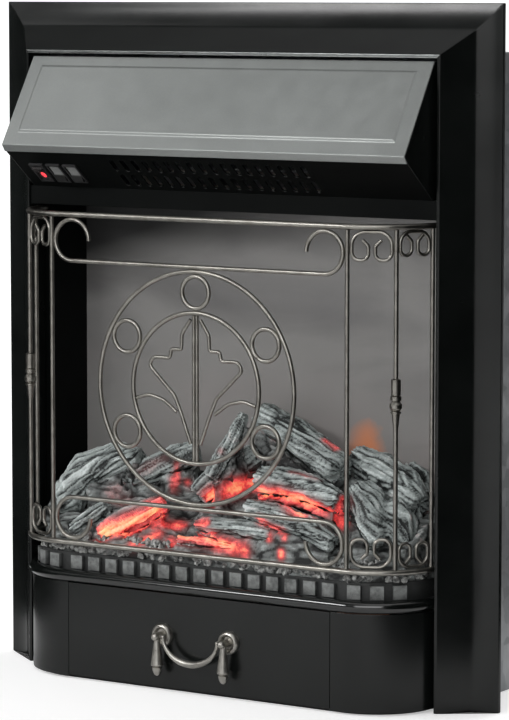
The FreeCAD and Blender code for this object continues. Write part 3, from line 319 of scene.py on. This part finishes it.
# where the top rail's front lip gets its painted highlight, and the pale steel grey it is painted
railLipHighlight = {"top": 0.5620, "front": -0.036, "fade": 0.0006, "steel": (0.42, 0.44, 0.435, 1)}
finishes = {
    "black_paint": satinBlackPaint("satinBlackPaint", black["bare"], black["dusty"], black["shine"],
                                   black["gloss"]),
    "hood_metal": hoodPaint(),
    "guard_metal": agedPewter("agedGuardPewter", (0.26, 0.25, 0.225, 1), (0.40, 0.385, 0.35, 1),
                              (0.16, 0.152, 0.138, 1), (0.28, 0.38)),
    "handle_metal": agedPewter("agedHandlePewter", (0.36, 0.348, 0.318, 1), (0.54, 0.523, 0.48, 1),
                               (0.085, 0.080, 0.074, 1), (0.26, 0.40)),
    "zinc_sheet": zincSheet(),
    "screw_steel": plainMetal("platedScrew", (0.55, 0.55, 0.56, 1), (0.28, 0.28, 0.29, 1), (0.25, 0.4)),
    "fan_metal": plainMetal("pressedAluminium", (0.62, 0.62, 0.63, 1), (0.40, 0.40, 0.41, 1), (0.3, 0.45),
                            (0.1, 1, 1)),
    "motor_steel": plainMetal("motorCan", (0.34, 0.34, 0.35, 1), (0.18, 0.18, 0.19, 1), (0.3, 0.5)),
    "reflector": plainMetal("brightReflector", (0.80, 0.80, 0.78, 1), (0.62, 0.62, 0.60, 1), (0.12, 0.25)),
    "heater_ceramic": mouldedPlastic("heaterCeramic", (0.62, 0.58, 0.52, 1), (0.42, 0.39, 0.35, 1),
                                     (0.5, 0.7)),
    "black_nylon": mouldedPlastic("blackNylon", (0.014, 0.014, 0.015, 1), (0.024, 0.024, 0.025, 1),
                                  (0.36, 0.52)),
    "rocker_grey": greyRocker(),
    "rocker_red": litRocker(),
    "screen_grey": smokedScreen(),
    "lamp_glass": lampGlass(),
    "grate_iron": castGrate(),
    "ember_resin": ashBark("glowingEmberResin", (0.012, 0.013, 0.013, 1), (0.170, 0.182, 0.178, 1),
                           (0.42, 0.46, 0.45, 1)),
    "log_ash": ashBark("ashBark", (0.016, 0.019, 0.019, 1), (0.385, 0.430, 0.420, 1), (0.78, 0.84, 0.83, 1)),
}
cinder = crushedCinder()
# darker, duller copy of the black paint for parts that sit in shade: painted shade
shadedPaint = satinBlackPaint("shadedBlackPaint", (0.0022, 0.0027, 0.0026, 1), (0.0050, 0.0058, 0.0055, 1),
                              (0.46, 0.58), 0.05)
finishOf = {name: finishes[slotOf[name]] for name in nodes}
finishOf["shelf_bead"] = satinBlackPaint("glossBlackPaint", black["bare"], black["dusty"], black["beadShine"],
                                         black["beadGloss"])
# top rail paint with a painted highlight along its front lip
finishOf["surround_top_rail"] = satinBlackPaint("railPaintWithPaintedHighlight", black["bare"], black["dusty"],
                                                black["shine"], black["gloss"], railLipHighlight)
finishOf.update({name: shadedPaint for name in ("control_panel", "lintel", "firebox_liners")})
for name, part in nodes.items():  # every carried-over node
    part.material_slots[0].material = finishOf[name]
print("finishes", len(finishes))


# mesh tools

def meshOf(work, name, sharp=38):
    mesh = bpy.data.meshes.new(name)
    work.to_mesh(mesh)
    work.free()
    for layer in ("custom_normal", "sharp_face", "sharp_edge"):
        if layer in mesh.attributes:
            mesh.attributes.remove(mesh.attributes[layer])
    mesh.polygons.foreach_set("use_smooth", [True] * len(mesh.polygons))
    mesh.set_sharp_from_angle(angle=math.radians(sharp))
    return mesh


def addPiece(name, mesh, finish):
    mesh.materials.clear()
    mesh.materials.append(finish)
    piece = bpy.data.objects.new(name, mesh)
    scene.collection.objects.link(piece)
    return piece


def settle(piece, body, stands=()):
    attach(piece, body)
    if stands:
        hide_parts(*stands)


def merged(*names):
    work = bmesh.new()
    for name in names:
        work.from_mesh(nodes[name].data)
    bmesh.ops.remove_doubles(work, verts=work.verts, dist=3e-6)
    return work


def easeEdges(work, width, segments, least):
    bmesh.ops.dissolve_limit(work, angle_limit=math.radians(0.5), verts=work.verts, edges=work.edges)
    edges = [e for e in work.edges if len(e.link_faces) == 2 and e.calc_face_angle() > math.radians(least)]
    bmesh.ops.bevel(work, geom=edges, offset=width, segments=segments, profile=0.5, affect="EDGES",
                    clamp_overlap=True)


def evenShade(mesh):  # wide faces keep their own direction
    source = bpy.data.objects.new("shadeSource", mesh)
    scene.collection.objects.link(source)
    even = source.modifiers.new("even", "WEIGHTED_NORMAL")
    even.keep_sharp = True
    even.weight = 90
    graph = bpy.context.evaluated_depsgraph_get()
    result = bpy.data.meshes.new_from_object(source.evaluated_get(graph))
    bpy.data.objects.remove(source)
    return result


def easedNode(node, width, segments=2, least=25, sharp=38):
    work = merged(node)
    easeEdges(work, width, segments, least)
    piece = addPiece(node + "_eased", evenShade(meshOf(work, node + "Eased", sharp)), finishOf[node])
    settle(piece, bodyOf[node], [node])
    return piece


def bakedPiece(name, source, tree, settings, finish):  # node tree result as a plain mesh
    modifier = source.modifiers.new("tree", "NODES")
    modifier.node_group = tree
    sockets = {item.name: item.identifier for item in tree.interface.items_tree if item.item_type == "SOCKET"
               and item.in_out == "INPUT"}
    for label, value in settings.items():
        modifier[sockets[label]] = value
    graph = bpy.context.evaluated_depsgraph_get()
    mesh = bpy.data.meshes.new_from_object(source.evaluated_get(graph))
    source.modifiers.remove(modifier)
    bpy.data.objects.remove(source)
    mesh.name = name
    return addPiece(name, mesh, finish)


class Tree:  # geometry node tree with named inputs
    def __init__(self, name, **inputs):
        kinds = {"float": "NodeSocketFloat", "int": "NodeSocketInt", "vector": "NodeSocketVector",
                 "object": "NodeSocketObject", "material": "NodeSocketMaterial"}
        self.group = bpy.data.node_groups.new(name, "GeometryNodeTree")
        self.group.interface.new_socket("Geometry", in_out="OUTPUT", socket_type="NodeSocketGeometry")
        self.group.interface.new_socket("Geometry", in_out="INPUT", socket_type="NodeSocketGeometry")
        for label, kind in inputs.items():
            self.group.interface.new_socket(label, in_out="INPUT", socket_type=kinds[kind])
        self.entry = self.group.nodes.new("NodeGroupInput")
        self.leave = self.group.nodes.new("NodeGroupOutput")

    def inlet(self, label):
        return self.entry.outputs[label]

    def make(self, kind, values=None, out=0, **settings):
        node = self.group.nodes.new(kind)
        for name, value in settings.items():
            setattr(node, name, value)
        for port, value in (values or {}).items():
            if isinstance(value, bpy.types.NodeSocket):
                self.group.links.new(value, node.inputs[port])
            else:
                node.inputs[port].default_value = value
        return node.outputs[out]

    def close(self, geometry):
        real = self.make("GeometryNodeRealizeInstances", {"Geometry": geometry})
        dressed = self.make("GeometryNodeSetMaterial", {"Geometry": real, "Material": self.inlet("Finish")})
        self.group.links.new(dressed, self.leave.inputs[0])
        return self.group


def pointSource(name, points):
    mesh = bpy.data.meshes.new(name)
    mesh.from_pydata([tuple(p) for p in points], [], [])
    source = bpy.data.objects.new(name, mesh)
    scene.collection.objects.link(source)
    return source


def repeatTree(name):  # one shape stood on every point
    tree = Tree(name, Shape="object", Turn="vector", Finish="material")
    shape = tree.make("GeometryNodeObjectInfo", {"Object": tree.inlet("Shape")}, out="Geometry")
    turn = tree.make("FunctionNodeEulerToRotation", {"Euler": tree.inlet("Turn")})
    stood = tree.make("GeometryNodeInstanceOnPoints", {"Points": tree.inlet("Geometry"), "Instance": shape,
                                                       "Rotation": turn})
    return tree.close(stood)


# surround, hood and base sheet metal
sheetEdges = {"surround_top_rail": 0.0016, "surround_left_jamb": 0.0011, "surround_right_jamb": 0.0011,
              "hood_plate": 0.0009, "hood_cheeks": 0.0004, "lintel": 0.0005,
              "apron_left_corner": 0.0005, "apron_right_corner": 0.0005, "drawer_front": 0.0006,
              "grate_strip": 0.0009, "casing_wrap": 0.0003}
sheets = {node: easedNode(node, width) for node, width in sheetEdges.items()}


def grateRecess(mesh):  # how deep each corner lies behind the blocks' faces
    grate = {"middle": (0.146, -0.018), "radius": 0.059, "deep": 0.0032}
    depth = []
    for v in mesh.vertices:
        side = max(abs(v.co.x) - grate["middle"][0], 0.0)
        away = math.hypot(side, min(v.co.y - grate["middle"][1], 0.0))
        depth.append(min(max((grate["radius"] - away) / grate["deep"], 0.0), 1.0))
    mesh.attributes.new("grateRecess", "FLOAT", "POINT").data.foreach_set("value", depth)


# the recess depth feeds the painted shade in the grate's gaps
grateRecess(sheets["grate_strip"].data)
print("sheet metal", len(sheetEdges))

# switches
for node in ("power_rocker", "low_heat_rocker", "high_heat_rocker"):
    easedNode(node, 0.0006, 3)
easedNode("switch_bodies", 0.0004)
print("switches")


# logs and embers
glowStreaks = [  # from, to, reach and power
    ((-0.112, -0.065, 0.133), (-0.064, -0.049, 0.154), 0.0105, 1.35),
    ((-0.073, -0.052, 0.159), (-0.064, -0.046, 0.162), 0.008, 1.0),
    ((-0.077, -0.004, 0.169), (-0.078, 0.000, 0.176), 0.0055, 0.8),
    ((-0.066, -0.052, 0.1435), (-0.045, -0.041, 0.1455), 0.007, 1.0),
    ((-0.077, -0.066, 0.126), (-0.059, -0.056, 0.135), 0.0075, 1.0),
    ((-0.043, -0.062, 0.136), (0.003, -0.071, 0.137), 0.008, 1.1),
    ((0.003, -0.071, 0.137), (0.042, -0.070, 0.131), 0.0085, 1.2),
    ((-0.015, -0.066, 0.148), (-0.001, -0.066, 0.151), 0.006, 0.9),
    ((-0.018, -0.033, 0.1675), (0.001, -0.030, 0.176), 0.010, 1.15),
    ((0.001, -0.030, 0.176), (0.011, -0.010, 0.180), 0.011, 1.1),
    ((0.011, -0.020, 0.178), (0.030, -0.036, 0.178), 0.007, 0.9),
    ((0.038, -0.040, 0.1795), (0.076, -0.048, 0.178), 0.0075, 1.15),
    ((0.076, -0.048, 0.178), (0.108, -0.055, 0.172), 0.0075, 1.15),
    ((0.108, -0.055, 0.172), (0.129, -0.047, 0.161), 0.0075, 1.05),
    ((0.129, -0.046, 0.179), (0.1275, -0.050, 0.160), 0.006, 0.9),
    ((0.050, -0.050, 0.170), (0.098, -0.062, 0.1665), 0.0055, 1.1),
    ((0.070, -0.038, 0.2007), (0.103, -0.044, 0.196), 0.004, 0.55),
    ((0.087, -0.007, 0.224), (0.100, -0.010, 0.219), 0.005, 0.7),
    ((-0.009, -0.034, 0.212), (-0.006, -0.033, 0.210), 0.004, 0.45),
    ((-0.078, 0.0015, 0.1885), (-0.075, -0.001, 0.173), 0.0045, 0.7),
    ((-0.068, 0.004, 0.173), (-0.050, -0.010, 0.176), 0.005, 0.75),
    ((0.0686, -0.070, 0.144), (0.0690, -0.070, 0.147), 0.0045, 1.05),
    ((0.084, -0.070, 0.1454), (0.0843, -0.070, 0.149), 0.004, 1.0),
    ((0.081, -0.070, 0.1294), (0.0813, -0.070, 0.133), 0.0045, 1.05),
    ((0.054, -0.063, 0.159), (0.080, -0.068, 0.150), 0.0045, 0.85),
    ((-0.131, -0.022, 0.161), (-0.070, -0.045, 0.1665), 0.011, 0.32),
    ((-0.090, -0.002, 0.194), (-0.111, -0.009, 0.182), 0.007, 0.30),
]
glowStreaks = [(Vector(start), Vector(end), reach, power) for start, end, reach, power in glowStreaks]


def heatAt(place):
    heat = 0.0
    for start, end, reach, power in glowStreaks:
        run = end - start
        share = min(max((place - start).dot(run) / run.length_squared, 0.0), 1.0)
        away = (place - start - run * share).length / reach
        if away < 2.4:
            heat = max(heat, power * math.exp(-away * away))
    return heat


def islands(node):  # the separate solids of one node
    work = merged(node)
    owner, count = {}, 0
    for first in work.verts:
        if first in owner:
            continue
        owner[first] = count
        stack = [first]
        while stack:
            for edge in stack.pop().link_edges:
                for v in edge.verts:
                    if v not in owner:
                        owner[v] = count
                        stack.append(v)
        count += 1
    solids = []
    for number in range(count):
        corners = {v: i for i, v in enumerate(v for v in work.verts if owner[v] == number)}
        mesh = bpy.data.meshes.new(node + "Solid")
        mesh.from_pydata([v.co.copy() for v in corners], [],
                         [[corners[v] for v in f.verts] for f in work.faces if f.verts[0] in corners])
        solids.append(mesh)
    work.free()
    return solids


def remeshed(mesh, voxel, rounds):
    source = bpy.data.objects.new("voxelSource", mesh)
    scene.collection.objects.link(source)
    voxels = source.modifiers.new("voxel", "REMESH")
    voxels.mode = "VOXEL"
    voxels.voxel_size = voxel
    voxels.use_smooth_shade = True
    soft = source.modifiers.new("soft", "SMOOTH")
    soft.factor = 0.5
    soft.iterations = rounds
    graph = bpy.context.evaluated_depsgraph_get()
    result = bpy.data.meshes.new_from_object(source.evaluated_get(graph))
    bpy.data.objects.remove(source)
    return result


def mainAxis(points):  # longest direction, by power iteration
    centre = sum(points, Vector()) / len(points)
    axis = Vector((0.9, 0.2, 0.3)).normalized()
    spread = Matrix(((0, 0, 0), (0, 0, 0), (0, 0, 0)))
    for p in points[::7]:
        d = p - centre
        for i in range(3):
            for j in range(3):
                spread[i][j] += d[i] * d[j]
    for _ in range(40):
        axis = (spread @ axis).normalized()
    return centre, axis


def barkAt(sample):  # flake height and crack depth
    near, centres = noise.voronoi(sample)
    crack = max(0.0, 1.0 - (near[1] - near[0]) / 0.22)
    fissure = max(0.0, 1.0 - abs(noise.noise(sample * 1.9)) * 3.4) ** 2
    fine = max(0.0, 1.0 - abs(noise.noise(sample * 4.3)) * 3.0) ** 2
    return noise.noise(centres[0] * 5.3), min(1.0, crack * 0.75 + fissure * 0.5 + fine * 0.3)


def barkPiece(name, node, points, faces, grooves, heats):
    mesh = bpy.data.meshes.new(name)
    mesh.from_pydata(points, [], faces)
    mesh.attributes.new("barkGroove", "FLOAT", "POINT").data.foreach_set("value", grooves)
    mesh.attributes.new("emberHeat", "FLOAT", "POINT").data.foreach_set("value", heats)
    mesh.polygons.foreach_set("use_smooth", [True] * len(mesh.polygons))
    piece = addPiece(name, mesh, finishOf[node])
    settle(piece, bodyOf[node], [node])
    return piece


def barkLog(node, seed):
    log = {"voxel": 0.0015, "deep": 0.0028, "flake": 0.0010, "lump": 0.0022, "fine": 0.0005,
           "around": 2.3, "along": 11.0}
    points, faces, grooves, heats = [], [], [], []
    for number, solid in enumerate(islands(node)):
        mesh = remeshed(solid, log["voxel"], 8)
        centre, axis = mainAxis([v.co for v in mesh.vertices])
        shift = Vector((seed * 3.1 + number, seed * 1.7, seed * 2.3 - number))
        base = len(points)
        for v in mesh.vertices:
            reach = v.co - centre
            run = reach.dot(axis)
            rim = Matrix.Rotation(run * 6.0, 3, axis) @ (reach - axis * run)
            wander = noise.noise_vector(v.co * 45 + shift) * 0.35
            sample = rim.normalized() * log["around"] + axis * (run * log["along"]) + shift + wander
            flake, sink = barkAt(sample)
            push = log["flake"] * flake + log["lump"] * noise.noise(v.co * 55 + shift)
            push += log["fine"] * noise.noise(v.co * 420 + shift) - log["deep"] * sink
            points.append(v.co + v.normal * push)
            grooves.append(1.0 - sink + 0.3 * flake)
            heats.append(heatAt(v.co))
        faces += [[base + i for i in f.vertices] for f in mesh.polygons]
    return len(barkPiece(node + "_bark", node, points, faces, grooves, heats).data.polygons)


logNames = sorted(name for name in nodes if slotOf[name] == "log_ash")
print("logs", len(logNames), sum(barkLog(name, i + 1) for i, name in enumerate(logNames)))


def bedEdge(place, low, high):  # how far a place is from the bed's outer wall
    corner, middle = 0.0521, (0.146, -0.018)
    away = min(high[0] - abs(place.x), high[1] - place.y, place.y - low[1])
    if abs(place.x) > middle[0] and place.y < middle[1]:
        away = min(away, corner - math.hypot(abs(place.x) - middle[0], place.y - middle[1]))
    return min(max(away / 0.007, 0.0), 1.0)


def emberBed():
    bed = {"voxel": 0.0020, "deep": 0.0026, "flake": 0.0016, "lump": 0.0050, "fine": 0.0006}
    mesh = remeshed(islands("ember_bed")[0], bed["voxel"], 4)
    low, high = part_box("ember_bed")
    points, grooves, heats = [], [], []
    for v in mesh.vertices:
        wander = noise.noise_vector(v.co * 40) * 0.5
        flake, sink = barkAt(Vector((v.co.x * 26, v.co.y * 85, v.co.z * 85)) + wander)
        push = bed["flake"] * flake + bed["lump"] * (noise.noise(v.co * 60) - 0.35)
        push += bed["fine"] * noise.noise(v.co * 420) - bed["deep"] * sink
        points.append(v.co + v.normal * push * bedEdge(v.co, low, high))
        grooves.append(1.0 - sink + 0.35 * flake)
        heats.append(heatAt(v.co))
    faces = [list(f.vertices) for f in mesh.polygons]
    barkPiece("ember_bed_lumps", "ember_bed", points, faces, grooves, heats)
    print("embers", len(faces), round(max(heats), 2))


emberBed()


def scatterTree():
    tree = Tree("cinderScatter", Density="float", Seed="int", Smallest="float", Largest="float",
                Finish="material")
    points = tree.make("GeometryNodeDistributePointsOnFaces", {
        "Mesh": tree.inlet("Geometry"), "Density": tree.inlet("Density"),
        "Seed": tree.inlet("Seed")}, out="Points")
    chip = tree.make("GeometryNodeMeshIcoSphere", {"Radius": 1.0, "Subdivisions": 2}, out="Mesh")
    size = tree.make("FunctionNodeRandomValue", {2: tree.inlet("Smallest"), 3: tree.inlet("Largest"),
                                                 "Seed": tree.inlet("Seed")}, out=1, data_type="FLOAT")
    turn = tree.make("FunctionNodeRandomValue", {0: (0, 0, 0), 1: (6.28, 6.28, 6.28), "Seed": 7}, out=0,
                     data_type="FLOAT_VECTOR")
    flat = tree.make("ShaderNodeCombineXYZ", {"X": size, "Y": tree.make("ShaderNodeMath", {0: size, 1: 0.75},
                                                                        operation="MULTIPLY"),
                                              "Z": tree.make("ShaderNodeMath", {0: size, 1: 0.6},
                                                             operation="MULTIPLY")})
    euler = tree.make("FunctionNodeEulerToRotation", {"Euler": turn})
    stood = tree.make("GeometryNodeInstanceOnPoints", {"Points": points, "Instance": chip, "Rotation": euler,
                                                       "Scale": flat})
    real = tree.make("GeometryNodeRealizeInstances", {"Geometry": stood})
    rough = tree.make("ShaderNodeTexNoise", {"Scale": 330.0, "Detail": 1.0}, out="Color")
    middle = tree.make("ShaderNodeVectorMath", {0: rough, 1: (0.5, 0.5, 0.5)}, operation="SUBTRACT")
    push = tree.make("ShaderNodeVectorMath", {0: middle, "Scale": 0.0032}, operation="SCALE")
    knobbly = tree.make("GeometryNodeSetPosition", {"Geometry": real, "Offset": push})
    return tree.close(knobbly)


def cinders():
    front = {"Density": 62000.0, "Seed": 3, "Smallest": 0.0018, "Largest": 0.0048}
    ledge = {"middle": (0.146, -0.018), "outer": 0.0535, "inner": 0.0430, "low": 0.1155,
             "high": 0.1290, "steps": 12}
    work = bmesh.new()
    rows = []
    for side in (-1, 1):  # left corner, then right corner, joined by the straight front
        for k in range(ledge["steps"] + 1):
            angle = math.radians(90 * (1 - k / ledge["steps"] if side < 0 else k / ledge["steps"]))
            turn = Vector((side * math.sin(angle), -math.cos(angle), 0))
            heart = Vector((side * ledge["middle"][0], ledge["middle"][1], 0))
            rows.append((work.verts.new(heart + turn * ledge["outer"] + Vector((0, 0, ledge["low"]))),
                         work.verts.new(heart + turn * ledge["inner"] + Vector((0, 0, ledge["high"])))))
    for a, b in zip(rows, rows[1:]):
        work.faces.new((a[0], b[0], b[1], a[1]))
    source = bpy.data.objects.new("cinderSource", meshOf(work, "cinderSource"))
    scene.collection.objects.link(source)
    piece = bakedPiece("front_cinders", source, scatterTree(), dict(front, Finish=cinder), cinder)
    settle(piece, "fire")
    print("cinders", len(piece.data.polygons))


cinders()


# heat slots: a rolled lip at the lower end of each
def heatSlotLips():
    panel = {"start": Vector((0, -0.07627, 0.47235)), "end": Vector((0, -0.034, 0.439)), "rows": (0.33, 0.74),
             "count": 18, "pitch": 0.0118, "length": 0.016, "width": 0.005, "wire": 0.00045}
    slope = (panel["end"] - panel["start"]).normalized()
    out = Vector((0, slope.z, -slope.y))
    work = bmesh.new()
    rings = []
    radius = panel["width"] / 2
    for step in range(9):  # half ring round the slot's end, in the panel's plane
        angle = math.pi * step / 8
        spoke = Vector((math.cos(angle), 0, 0)) + slope * math.sin(angle)
        middle = spoke * radius + slope * (panel["length"] / 2 - radius)
        rings.append([work.verts.new(middle + spoke * (panel["wire"] * math.cos(turn)) +
                                     out * (panel["wire"] * math.sin(turn)))
                      for turn in (k * math.pi / 3 for k in range(6))])
    for a, b in zip(rings, rings[1:]):
        for k in range(6):
            work.faces.new((a[k], a[(k + 1) % 6], b[(k + 1) % 6], b[k]))
    work.faces.new(rings[0])
    work.faces.new(rings[-1][::-1])
    bmesh.ops.recalc_face_normals(work, faces=work.faces)
    lip = bpy.data.objects.new("slotLip", meshOf(work, "slotLip", 60))
    scene.collection.objects.link(lip)
    run = panel["end"] - panel["start"]
    points = [panel["start"] + run * row + Vector(((i - (panel["count"] - 1) / 2) * panel["pitch"], 0, 0))
              for row in panel["rows"] for i in range(panel["count"])]
    source = pointSource("slotPoints", points)
    piece = bakedPiece("heat_slot_lips", source, repeatTree("slotLips"),
                       {"Shape": lip, "Turn": (0, 0, 0), "Finish": finishes["black_paint"]},
                       finishes["black_paint"])
    bpy.data.objects.remove(lip)
    settle(piece, "fire")
    print("slot lips", len(points))


heatSlotLips()


# rear cover screws: domed heads with a cross recess
def coverScrews():
    screw = {"radius": 0.0034, "height": 0.0020, "deep": 0.0009, "shallow": 0.0004, "turn": 0.4}
    low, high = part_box("cover_screws")
    back = high[1] - screw["height"]
    work = merged("cover_screws")
    heads = []
    for v in work.verts:
        if abs(v.co.y - back) < 1e-5:
            heads.append(v.co.copy())
    work.free()
    centres = []
    for p in heads:
        for group in centres:
            if (group[0] - p).length < 0.012:
                group.append(p)
                break
        else:
            centres.append([p])
    points = []
    for group in centres:
        lowX, highX = min(p.x for p in group), max(p.x for p in group)
        lowZ, highZ = min(p.z for p in group), max(p.z for p in group)
        points.append(Vector(((lowX + highX) / 2, back, (lowZ + highZ) / 2)))
    work = bmesh.new()
    rings = [(0.0, 1.0), (0.45, 1.0), (0.75, 0.88), (0.93, 0.62), (1.0, 0.30)]
    loops = []
    for lift, wide in rings:
        radius, rise = screw["radius"] * wide, lift * screw["height"]
        turns = [k * math.pi / 12 for k in range(24)]
        loops.append([work.verts.new((radius * math.cos(t), rise, radius * math.sin(t))) for t in turns])
    for a, b in zip(loops, loops[1:]):
        for k in range(24):
            work.faces.new((a[k], b[k], b[(k + 1) % 24], a[(k + 1) % 24]))
    work.faces.new(loops[0])
    hub = []
    for k in range(24):  # pressed cross
        angle = k * math.pi / 12
        arm = min(abs(math.sin(2 * angle)), 1.0) < 0.55
        reach = screw["radius"] * (0.26 if arm else 0.12)
        rise = screw["height"] - (screw["deep"] if arm else screw["shallow"])
        hub.append(work.verts.new((reach * math.cos(angle), rise, reach * math.sin(angle))))
    for k in range(24):
        work.faces.new((loops[-1][k], hub[k], hub[(k + 1) % 24], loops[-1][(k + 1) % 24]))
    work.faces.new(hub[::-1])
    bmesh.ops.recalc_face_normals(work, faces=work.faces)
    head = bpy.data.objects.new("screwHead", meshOf(work, "screwHead", 35))
    scene.collection.objects.link(head)
    piece = bakedPiece("cover_screw_heads", pointSource("screwPoints", points), repeatTree("coverScrewHeads"),
                       {"Shape": head, "Turn": (0, screw["turn"], 0), "Finish": finishes["screw_steel"]},
                       finishes["screw_steel"])
    bpy.data.objects.remove(head)
    settle(piece, "fire", ["cover_screws"])
    print("screws", len(points))


coverScrews()


# stage, lights and camera
def stageSet():
    room = {"radius": 9.0, "wall": 6.0, "near": 0.42, "far": 1.0, "cardHeight": 1.1, "cardLift": 0.003,
            "standing": ((-0.85, -1.15, 0.70), (1.25, -1.15, 1.6)),
            "lying": ((-1.0, -0.42, -0.75, 0.25), (0.42, 1.25, -0.80, 1.2))}
    pale = Finish("paleFloor", roughness=0.85, specularIorLevel=0.1, emissionStrength=1.0)
    away = pale.make("ShaderNodeVectorMath", {0: pale.spot()}, out="Value", operation="LENGTH")
    seen = pale.make("ShaderNodeLightPath", out="Is Camera Ray")
    lift = seen * pale.span(away, 0.9, 2.6, room["near"], room["far"])
    pale.give(baseColor=pale.tint(pale.grain(3, 3), (0.86, 0.86, 0.86, 1), (0.88, 0.88, 0.88, 1)),
              emissionColor=pale.tint(lift, (0, 0, 0, 1), (1, 1, 1, 1)))
    work = bmesh.new()
    bmesh.ops.create_circle(work, cap_ends=True, segments=96, radius=room["radius"])
    floor = addPiece("paleFloor", meshOf(work, "paleFloor"), pale.material)

    white = Finish("whiteBackdrop", roughness=0.9, specularIorLevel=0.0, emissionStrength=1.0)
    seen = white.make("ShaderNodeLightPath", out="Is Camera Ray")
    white.give(baseColor=white.tint(white.grain(2, 2), (0.84, 0.84, 0.84, 1), (0.86, 0.86, 0.86, 1)),
               emissionColor=white.tint(seen, (0, 0, 0, 1), (1, 1, 1, 1)))
    work = bmesh.new()
    posts = []
    for k in range(49):  # half drum behind the fire
        angle = math.radians(-5 + 190 * k / 48)
        x, y = room["radius"] * math.cos(angle), room["radius"] * math.sin(angle)
        posts.append((work.verts.new((x, y, -0.01)), work.verts.new((x, y, room["wall"]))))
    for a, b in zip(posts, posts[1:]):
        work.faces.new((a[0], a[1], b[1], b[0]))
    drop = addPiece("whiteBackdrop", meshOf(work, "whiteBackdrop"), white.material)

    felt = Finish("blackFelt", roughness=1.0, specularIorLevel=0.0)  # dark cards that only reflections see
    felt.give(baseColor=felt.tint(felt.grain(40, 3), (0.004, 0.004, 0.004, 1), (0.010, 0.010, 0.010, 1)))
    work = bmesh.new()
    high = room["cardHeight"]
    for x, near, far in room["standing"]:
        corners = ((near, 0.0), (far, 0.0), (far, high), (near, high))
        work.faces.new([work.verts.new((x, y, z)) for y, z in corners])
    for left, right, near, far in room["lying"]:
        corners = ((left, near), (right, near), (right, far), (left, far))
        work.faces.new([work.verts.new((x, y, room["cardLift"])) for x, y in corners])
    cards = addPiece("sideCards", meshOf(work, "sideCards"), felt.material)
    cards.visible_camera = cards.visible_shadow = cards.visible_diffuse = False


def softLight(name, place, aim, size, power):
    lamp = bpy.data.lights.new(name, "AREA")
    lamp.shape = "RECTANGLE"
    lamp.size, lamp.size_y = size
    lamp.energy = power
    light = bpy.data.objects.new(name, lamp)
    scene.collection.objects.link(light)
    light.location = place
    light.rotation_euler = (Vector(aim) - Vector(place)).to_track_quat("-Z", "Y").to_euler()
    light.visible_camera = False


def studio():
    glow = {"front": 0.15, "top": 0.55, "side": 0.004, "back": 0.30}
    world = bpy.data.worlds.new("studio")
    world.use_nodes = True
    scene.world = world
    tree = world.node_tree
    background = tree.nodes["Background"]
    coords = tree.nodes.new("ShaderNodeTexCoord")
    split = tree.nodes.new("ShaderNodeSeparateXYZ")
    tree.links.new(coords.outputs["Generated"], split.inputs[0])
    y = Field(tree, split.outputs["Y"])
    z = Field(tree, split.outputs["Z"])
    front = ((y * -1 - 0.35) / 0.45).clip()
    back = ((y - 0.2) / 0.5).clip()
    top = ((z - 0.76) / 0.12).clip()
    level = front * glow["front"] + back * glow["back"] + top * glow["top"] + glow["side"]
    feed(tree, background.inputs["Color"], level)
    softLight("stripFrontLeft", (-2.05, -2.25, 1.66), (0, 0, 0.60), (3.0, 0.50), 68.0)
    softLight("hoodCard", (-2.25, -1.05, 2.10), (0, -0.05, 0.52), (1.1, 1.3), 4.8)
    softLight("keyFront", (1.2, -3.2, 1.6), (0, 0, 0.25), (2.6, 2.0), 37.0)
    softLight("overheadRight", (1.0, -1.3, 2.5), (0, 0, 0.3), (1.6, 1.6), 2.5)
    softLight("backFill", (0.4, 2.4, 1.8), (0, 0, 0.3), (1.6, 1.2), 30.0)


def photoCamera():
    shot = {"place": (1.7053, -2.5863, 0.6198), "yaw": 33.4, "pitch": 6.1, "lens": 175.3, "shift": 0.0099}
    data = bpy.data.cameras.new("photoCamera")
    data.lens = shot["lens"]
    data.sensor_width = 36.0
    data.shift_x = shot["shift"]
    camera = bpy.data.objects.new("photoCamera", data)
    scene.collection.objects.link(camera)
    yaw, pitch = math.radians(shot["yaw"]), math.radians(shot["pitch"])
    ahead = Vector((-math.sin(yaw) * math.cos(pitch), math.cos(yaw) * math.cos(pitch), -math.sin(pitch)))
    camera.location = shot["place"]
    camera.rotation_euler = ahead.to_track_quat("-Z", "Y").to_euler()
    scene.camera = camera


stageSet()
studio()
photoCamera()
print("scene ready")
